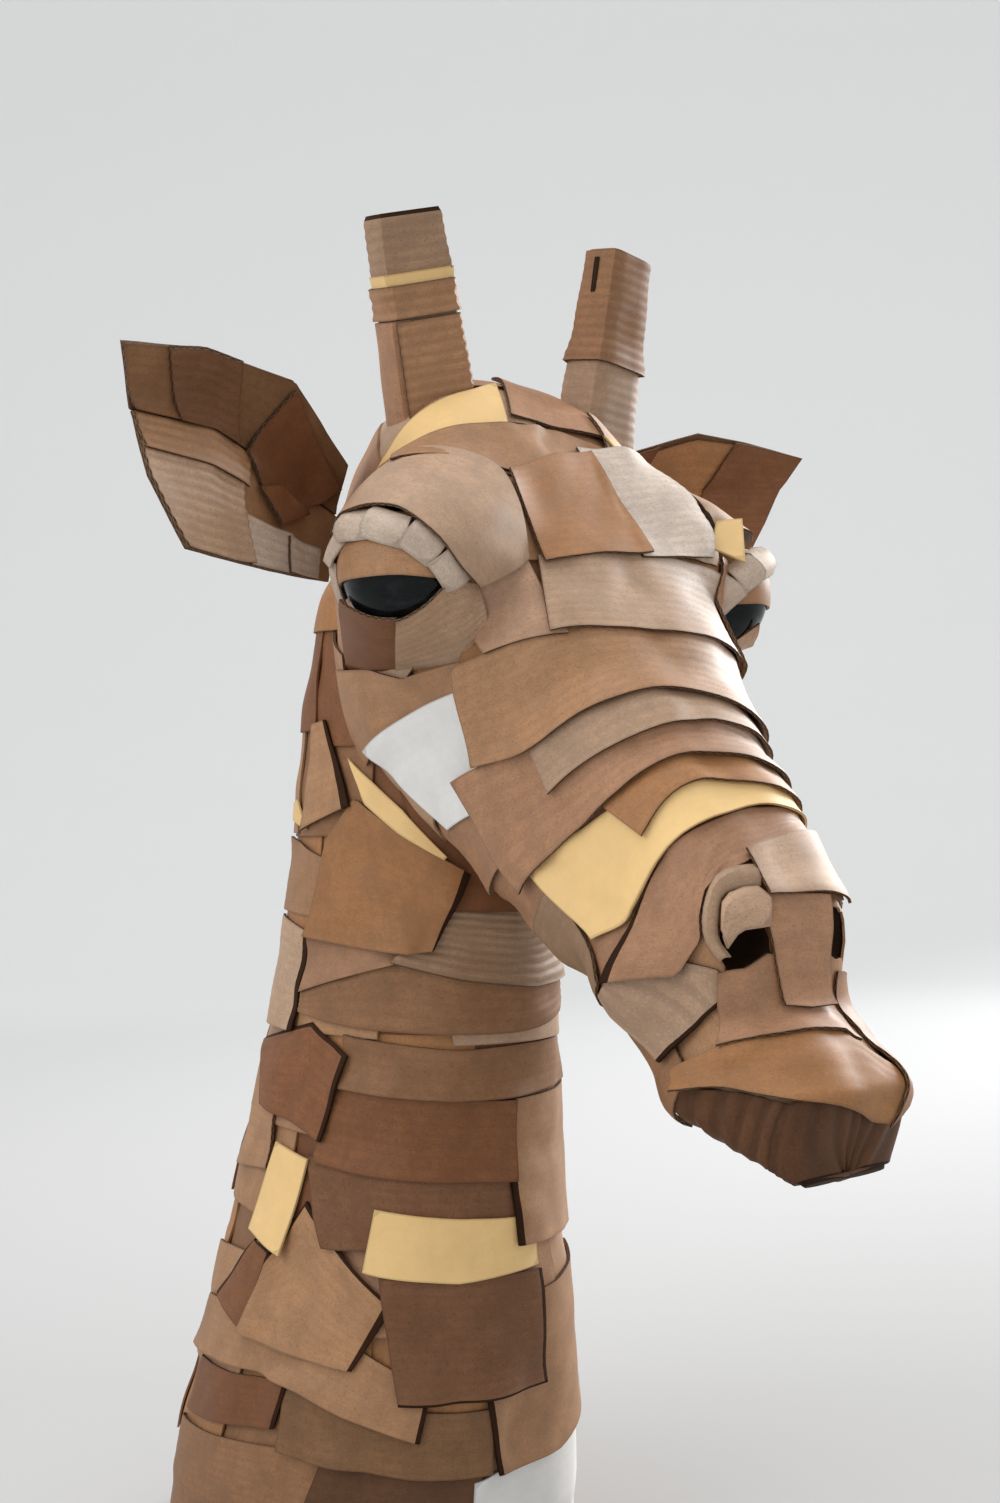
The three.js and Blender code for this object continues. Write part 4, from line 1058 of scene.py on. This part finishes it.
# On a horn a corner is (up, around)
HORN_SHEETS = {
    RIGHT: [
        ("side_card", "rosy", [(72, 140), (72, 40)], [(-2, 140), (-2, 40)], dict(rib=0, lift=FLAT)),
        ("sleeve_card", "kraft", [(71, 52), (71, -150)], [(-2, 52), (-2, -150)],
         dict(rib=0.4, lift=(0.6, 0, 1.0, 0), node="right_horn_sleeve", tone=0.2)),
        ("upper_card", "grey", [(134, 120), (134, -120)], [(98, 120), (98, -120)],
         dict(rib=0.2, thick=1.6, lift=FLAT, open_ends=(2.5, 0, 0, 0), tone=0.6)),
        ("yellow_card", "yellow", [(99, 176), (99, -176)], [(90, 176), (90, -176)],
         dict(rib=0, thick=1.0, lift=FLAT, node="right_horn_yellow_band")),
        ("band_card", "kraft", [(92, 178), (92, -178)], [(73, 178), (73, -178)],
         dict(rib=0.35, lift=(0.3, 0.8, 0, 0), node="right_horn_middle_band")),
    ],
    LEFT: [
        ("sleeve_card", "pale", [(64, 178), (64, -178)], [(-2, 178), (-2, -178)],
         dict(rib=0.15, lift=FLAT, node="left_horn_sleeve", tone=-1)),
        ("wrap_card", "tan", [(133, 150), (133, -178)], [(60, 150), (60, -178)],
         dict(rib=0.35, lift=(0, 0.8, 0.5, 0), node="left_horn_fluted_wrap", tone=0.6)),
        # A thin sheet of the shade card: a painted shadow at the wrap's edge
        ("slit_shadow_card", "shade", [(128, 97), (128, 88)], [(105, 95), (105, 86)],
         dict(rib=0, thick=0.6, lift=FLAT)),
    ],
}
# On an ear a corner is (root to tip, line down), on the side that opens forward
EAR_SHEETS = {
    RIGHT: [
        ("upper_flap_card", "umber", [(0, 0), (0.5, 0), (1, 0)], [(0, 1), (0.5, 1), (1, 1)], dict(rib=0,
         node="right_ear_upper_flap", lift=FLAT)),
        ("lower_flap_card", "kraft", [(0, 1), (0.5, 1), (1, 1)], [(0, 3), (0.5, 3), (1, 3)], dict(rib=0,
         node="right_ear_lower_flap", lift=FLAT)),
        # The two root cards are pale card lightened further for a painted sheen
        ("root_low_card", "pale_and_sheen", [(0.34, 2.1), (0.62, 2.1)], [(0.34, 3.0), (0.62, 3.0)], dict(rib=0.25,
         tone=1)),
        ("root_end_card", "pale_and_sheen", [(0.12, 2.2), (0.38, 2.2)], [(0.12, 3.05), (0.38, 3.05)], dict(rib=0.25,
         tone=1)),
        ("low_tip_card", "pale", [(0.62, 1.5), (1.0, 1.5)], [(0.62, 3.0), (1.0, 3.0)], dict(rib=0.35,
         lift=(0.4, 0.2, 0.8, 0.1), tone=0.8)),
        ("ribbed_card", "kraft", [(0.6, 1.0), (1.0, 1.0)], [(0.6, 1.62), (1.01, 1.62)], dict(rib=0.45,
         lift=(0.2, 0.5, 0.2, 0.1))),
        ("upper_root_card", "toffee", [(0.02, 0.02), (0.66, 0.0)], [(0.02, 0.98), (0.66, 0.96)],
         dict(rib=0.1)),
        ("tip_card", "tan", [(0.84, 0.0), (1.0, 0.0)], [(0.84, 0.98), (1.0, 0.98)], dict(rib=0.12)),
        ("tip_second_card", "umber", [(0.66, -0.03), (0.87, -0.03)], [(0.66, 1.0), (0.87, 1.0)],
         dict(rib=0.2, lift=(0.2, 0.4, 1.2, 0.2), tone=0.5)),
        ("inner_square_card", "brown", [(0.63, 1.02), (0.5, 0.08)], [(0.44, 1.95), (0.04, 0.5)],
         dict(rib=0.05, lift=(1.0, 1.8, 0.6, 0.6), tone=-0.6)),
        ("inner_small_card", "brown", [(0.56, 1.5), (0.47, 1.25)], [(0.44, 2.05), (0.26, 1.5)], dict(rib=0,
         thick=1.6, lift=(0.5, 1.6, 0.5, 0.8), tone=0.4)),
    ],
    LEFT: [
        ("upper_flap_card", "umber", [(0, 0), (0.5, 0), (1, 0)], [(0, 1), (0.5, 1), (1, 1)], dict(rib=0,
         node="left_ear_upper_flap", lift=FLAT)),
        ("lower_flap_card", "kraft", [(0, 1), (0.5, 1), (1, 1)], [(0, 3), (0.5, 3), (1, 3)], dict(rib=0,
         node="left_ear_lower_flap", lift=FLAT)),
        ("middle_card", "golden", [(0.3, 0.1), (0.75, 0.05)], [(0.28, 2.2), (0.72, 2.4)], dict(rib=0.1)),
        ("tip_card", "brown", [(0.68, 0.0), (1.0, 0.0)], [(0.68, 2.95), (1.0, 2.95)], dict(rib=0.1)),
        ("root_card", "brown", [(0.02, 0.1), (0.36, 0.0)], [(0.02, 2.9), (0.32, 3.0)], dict(rib=0.1)),
    ],
}
# On the ball of an eye a corner is (towards the nose, up)
UPPER_LID = ([(-98, 42), (0, 46), (84, 40)], [(-98, -14), (-62, -12), (4, -10), (46, -13), (84, -16)])
ROLL_PATH = [(-103, -22), (-85, 11), (-58, 32.5), (-22, 33.5), (14, 23.5), (38, 7), (58, -14)]
ROLL_WIDTH, ROLL_SHARE, ROLL_GAP = 31, 0.85, 1.0
HOOD_EDGE = {
    RIGHT: [(-96, 14), (-74, 33), (-36, 40), (4, 38), (32, 17), (50, -4), (68, -15)],
    LEFT: [(-96, 34), (-70, 46), (-34, 54), (2, 58), (28, 56), (50, 50)],
}
HOOD_TOP = {
    RIGHT: [(-112, 96), (-110, 80), (-100, 64), (-84, 51), (-62, 38), (-30, 37), (4, 42)],
    LEFT: [(-112, 96), (-110, 80), (-100, 66), (-84, 57), (-62, 50), (-44, 48)],
}
# The left eye's upper lid, rolls and hood sit this many degrees further round towards the nose
EYE_SHIFT = {RIGHT: 0, LEFT: 36}
LOWER_LID_SHARES = {RIGHT: (0.51, 0.98), LEFT: (0.4, 0.72)}
LOWER_LID_EDGE = [(-92, -14), (-60, -31), (-28, -44), (4, -46), (28, -35), (48, -15), (84, -13)]
CHEEK_LINE = [(-58, 138), (-44, 130), (-22, 118), (2, 103), (16, 92), (30, 78), (26, 62)]
EYE_BACK = ([(-128, 56), (-100, 56), (-84, 50)], [(-128, -40), (-100, -40), (-80, -32)])
YELLOW_BROW = ([(87, 55, 13), (45, 60, 14)], [(93, 28, 13), (70, 18, 13)])
WHOLE = ([(0, 0), (1, 0)], [(0, 1), (1, 1)])


def lay_all(sheets, surface, openings=(), prefix="", **usual):
    for name, card, top, bottom, settings in sheets:
        lay(prefix + name, surface, card, top, bottom, openings=openings, **{**usual, **settings})


def mirrored(points, side):
    return [(along, around * -side) for along, around in points]


def smooth_line(points, count=25):
    """A smooth line through places, by the same curve along each coordinate."""
    points = np.array(points, float)
    run = np.concatenate([[0], np.cumsum(np.linalg.norm(np.diff(points, axis=0), axis=1))])
    at = np.linspace(0, run[-1], count)
    return np.stack([curve(list(zip(run, points[:, k])), at) for k in range(points.shape[1])], -1)


def stretched(first, second, bulge, centre):
    """A surface between two lines, swelling away from a centre: 0 to 1 along, 0 to 1 across."""
    def line(points, share):
        steps = np.linspace(0, 1, len(points))
        return np.stack([np.interp(share, steps, points[:, k]) for k in range(3)], -1)
    def place(along, across, out=0.0):
        along, across, out = np.broadcast_arrays(np.asarray(along, float), np.asarray(across, float), out)
        flat = line(first, along) * (1 - across[..., None]) + line(second, along) * across[..., None]
        away = flat - centre
        away /= np.linalg.norm(away, axis=-1, keepdims=True)
        return flat + away * (out + bulge * np.sin(np.pi * np.clip(across, 0, 1)))[..., None]
    return Surface(place, (0, 1), (0, 1), (0.05, 0.05))


def lay_cap(name, point, at, centre, card, bulge=3.0, base=-0.8):
    """Closes the end of a form with one domed sheet."""
    half = np.linspace(0, 180, 13)
    dome = stretched(point(at, half), point(at, -half), bulge, centre)
    lay(name, dome, card, *WHOLE, rib=0, thick=THIN, base=base, lift=FLAT)


def around_eye(point, start=-140):
    return Surface(point, (start, 110), (-60, 100), (3, 3))


def turned_eye_point(side):
    """Point on the ball of an eye, turned to the nose as the left eye's upper lid, rolls and hood are."""
    straight = eye_point(side)
    def place(towards, up, out=0.0):
        return straight(np.asarray(towards, float) + EYE_SHIFT[side], up, out)
    return place


def lay_lids(side):
    name = SIDE_NAMES[side]
    top, bottom = [[(line[0][0] - EYE_SHIFT[side], line[0][1]), *line[1:]] for line in UPPER_LID]
    upper = around_eye(turned_eye_point(side))
    lay(name + "_upper_lid_card", upper, "kraft", top, bottom, rib=0, thick=1.5, base=0.8, lift=FLAT,
        node=name + "_upper_lid")
    edge, cheek = smooth_line(LOWER_LID_EDGE), smooth_line(mirrored(CHEEK_LINE, side))
    first = eye_point(side)(edge[:, 0], edge[:, 1], 2.6)
    second = head_point(cheek[:, 0], cheek[:, 1], -1.8)
    lower = stretched(first, second, 2.0, eye_centre(side))
    middle, end = LOWER_LID_SHARES[side]
    lay(name + "_lower_lid_card", lower, "brown", [(0.1, 0), (middle, 0)], [(0.1, 1.04), (middle, 1.04)],
        lift=(0, 0, 0.5, 0.3), node=name + "_lower_lid", tone=0)
    lay(name + "_lower_lid_front_card", lower, "pale", [(middle, 0), (end, 0)],
        [(middle, 1.04), (end, 1.03)], rib=0.2, lift=FLAT)


def lay_rolls(side):
    """The rolled pieces of board round the top of an eye, end to end along a path."""
    rolls = around_eye(turned_eye_point(side), -130)
    for i, (start, end) in enumerate(zip(ROLL_PATH, ROLL_PATH[1:])):
        start, end = np.array(start, float), np.array(end, float)
        tilt = math.atan2(end[1] - start[1], (end[0] - start[0]) * ROLL_SHARE)
        out = np.array([-math.sin(tilt), math.cos(tilt)]) * ROLL_WIDTH / 2
        gap = (end - start) / np.linalg.norm(end - start) * ROLL_GAP
        start, end = start + gap, end - gap
        name = f"{SIDE_NAMES[side]}_brow_roll_{i + 1}"
        top, bottom = [start + out, end + out], [start - out, end - out]
        # The rolls' pale card is lightened further for a painted sheen
        lay(name + "_card", rolls, "pale_and_sheen", top, bottom, rib=0, thick=1.3, base=1.6, bulge=5.2,
            lift=(0, 0, 0.5, 0.2), node=name, tone=0)


def lay_hood(side):
    """The sheet that hangs over the rolls, from the brow to just off them."""
    name = SIDE_NAMES[side] + "_brow_hood"
    edge, upper = smooth_line(HOOD_EDGE[side]), smooth_line(mirrored(HOOD_TOP[side], side))
    first = turned_eye_point(side)(edge[:, 0], edge[:, 1], 10.0)
    second = head_point(upper[:, 0], upper[:, 1], 1.5)
    hood = stretched(first, second, 3.0, eye_centre(side))
    lay(name + "_card", hood, "pale", *WHOLE[::-1], rib=0, thick=1.6, lift=(0, 0.3, 0, 0), node=name,
        tone=(0.8, -0.7))


def lay_left_eye_cards():
    """The card behind the left eye, and the small yellow one that stands off its brow."""
    straight = eye_point(LEFT)
    lay("left_eye_back_card", around_eye(straight), "kraft", *EYE_BACK, rib=0, thick=THIN, base=4.5,
        lift=FLAT)
    high, low = [np.array([straight(*corner) for corner in line]) for line in YELLOW_BROW]
    brow = stretched(high, low, 0.0, eye_centre(LEFT))
    lay("left_brow_yellow_card", brow, "yellow", *WHOLE, rib=0, thick=1.2, base=2.5, lift=FLAT)


def dress_eye(side):
    lay_lids(side)
    lay_rolls(side)
    lay_hood(side)
    if side == LEFT:
        lay_left_eye_cards()


def dress_horn(side):
    foot, _, _, rise = horn_axes(side)
    ends = (foot, foot + rise * HORN["length"])
    name, point = SIDE_NAMES[side], horn_point(side)
    skin(name + "_horn_box", point, 0.0, float(HORN["length"]), ends, 64, 30, "grey", name + "_horn")
    lay_all(HORN_SHEETS[side], Surface(point, (-10, 140), (-180, 180), (2, 3), True), prefix=name + "_horn_")


def dress_ear(side):
    surface = Surface(ear_point(side), (0, 1), (0, 3), (0.01, 0.03))
    lay_all(EAR_SHEETS[side], surface, prefix=SIDE_NAMES[side] + "_ear_")


# The stage

def backdrop():
    """A pale floor that sweeps up into a wall, in metres: it runs ahead from behind the camera."""
    behind, wall_at, wall_high, sweep, wide = 6.0, 4.5, 5.0, 1.6, 5.2
    floor, v, u = grid_object("floor", 48, 1)
    length = behind + wall_at - sweep + sweep * math.pi / 2 + wall_high
    run = (1 - v) * length - behind
    bend = np.clip((run - (wall_at - sweep)) / sweep, 0, math.pi / 2)
    over = np.clip(run - (wall_at - sweep) - sweep * math.pi / 2, 0, None)
    depth = np.minimum(run, wall_at - sweep) + sweep * np.sin(bend)
    high = sweep * (1 - np.cos(bend)) + over
    spots = depth[:, None] * AHEAD + ((u - 0.5) * wide)[:, None] * ASIDE + high[:, None] * UPWARDS
    fill_vertices(floor, spots / MM)
    bpy.ops.object.shade_smooth()
    set_attribute(floor.data, "wall", np.clip((run - 0.2) / 2.4, 0, 1))
    paint = Finish("pale_wall", rough=0.9)
    paint.feed(paint.shader["Base Color"], paint.mix(paint.mark("wall"), FLOOR_PAINT, WALL_PAINT))
    floor.data.materials.append(paint.material)


def add_lamp(name, kind, power, off, **settings):
    """A lamp that stands off the bust's middle and points back at it."""
    light = bpy.data.lights.new(name, kind)
    light.energy = power
    for key, value in settings.items():
        setattr(light, key, value)
    lamp = bpy.data.objects.new(name, light)
    bpy.context.collection.objects.link(lamp)
    lamp.location = MIDDLE + off
    tilt, turn = math.atan2(math.hypot(off[0], off[1]), off[2]), math.atan2(off[1], off[0])
    lamp.rotation_euler = (tilt, 0, turn + math.pi / 2)


def light_stage():
    world = bpy.data.worlds.new("studio")
    bpy.context.scene.world = world
    world.use_nodes = True
    sky = world.node_tree.nodes["Background"].inputs
    sky["Color"].default_value = (0.98, 0.99, 1.0, 1)
    sky["Strength"].default_value = 0.69
    add_lamp("window", "SUN", 3.3, np.array([0.93, 0.12, 0.36]), angle=math.radians(24))
    add_lamp("fill", "AREA", 20, -1.8 * ASIDE - 1.2 * AHEAD + 1.1 * UPWARDS, size=2.0)
    add_lamp("top", "AREA", 22, -0.2 * ASIDE + 2.3 * UPWARDS, size=1.8)


def place_camera():
    lens = bpy.data.cameras.new("camera")
    lens.sensor_fit = "VERTICAL"
    lens.sensor_height = SENSOR_HEIGHT
    lens.lens = LENS
    camera = bpy.data.objects.new("camera", lens)
    bpy.context.collection.objects.link(camera)
    camera.location = CAMERA_PLACE
    camera.rotation_euler = (math.pi / 2 + CAMERA_PITCH, 0, -CAMERA_HEADING)
    bpy.context.scene.camera = camera
    bpy.context.scene.view_settings.view_transform = "Standard"


def eyes_free(right_room, left_room):
    return [eye_opening(RIGHT, right_room), eye_opening(LEFT, left_room)]


head = Surface(head_point, (SKULL_BACK, NOSE_END), (-180, 180), (3.0, 2.0), True, -INSET)
neck = Surface(neck_point, (0, NECK_TOP), (-180, 180), (3.0, 2.0), True, -INSET)
NOSTRILS = [nostril_opening(RIGHT), nostril_opening(LEFT)]
HEAD_OPENINGS = eyes_free(EYE_ROOM, EYE_ROOM) + NOSTRILS + eyes_free(46, 41)

make_forms()
cover("head_row", head, range(290, -190, -58), 62, 78, HEAD_KRAFTS, HEAD_OPENINGS)
cover("neck_row", neck, range(20, 700, 62), 76, 96, NECK_KRAFTS)
skull_middle = from_head_frame(0.0, SKULL_BACK + 60, -50.0)
lip_middle = from_head_frame(0.0, NOSE_END - 60, -41.0)
lay_cap("skull_back_card", head_point, SKULL_BACK + 0.5, skull_middle, "kraft")
lay_cap("nape_cap_card", neck_point, NECK_TOP - 0.5, np.array([0, -88, NECK_TOP - 60]), "rosy")
lay_cap("lip_end_card", head_point, NOSE_END - 1, lip_middle, "dark", 1.5, -2.0)
lay_all(NECK_SHEETS, neck, thick=NECK_BOARD)
lay_all(MUZZLE_SHEETS, head)
lay_all(BRIDGE_SHEETS, head, eyes_free(39.2, 39.2))
lay_all(CROWN_SHEETS, head, eyes_free(50, 50))
for which in (RIGHT, LEFT):
    dress_eye(which)
    dress_horn(which)
    dress_ear(which)
backdrop()
light_stage()
place_camera()
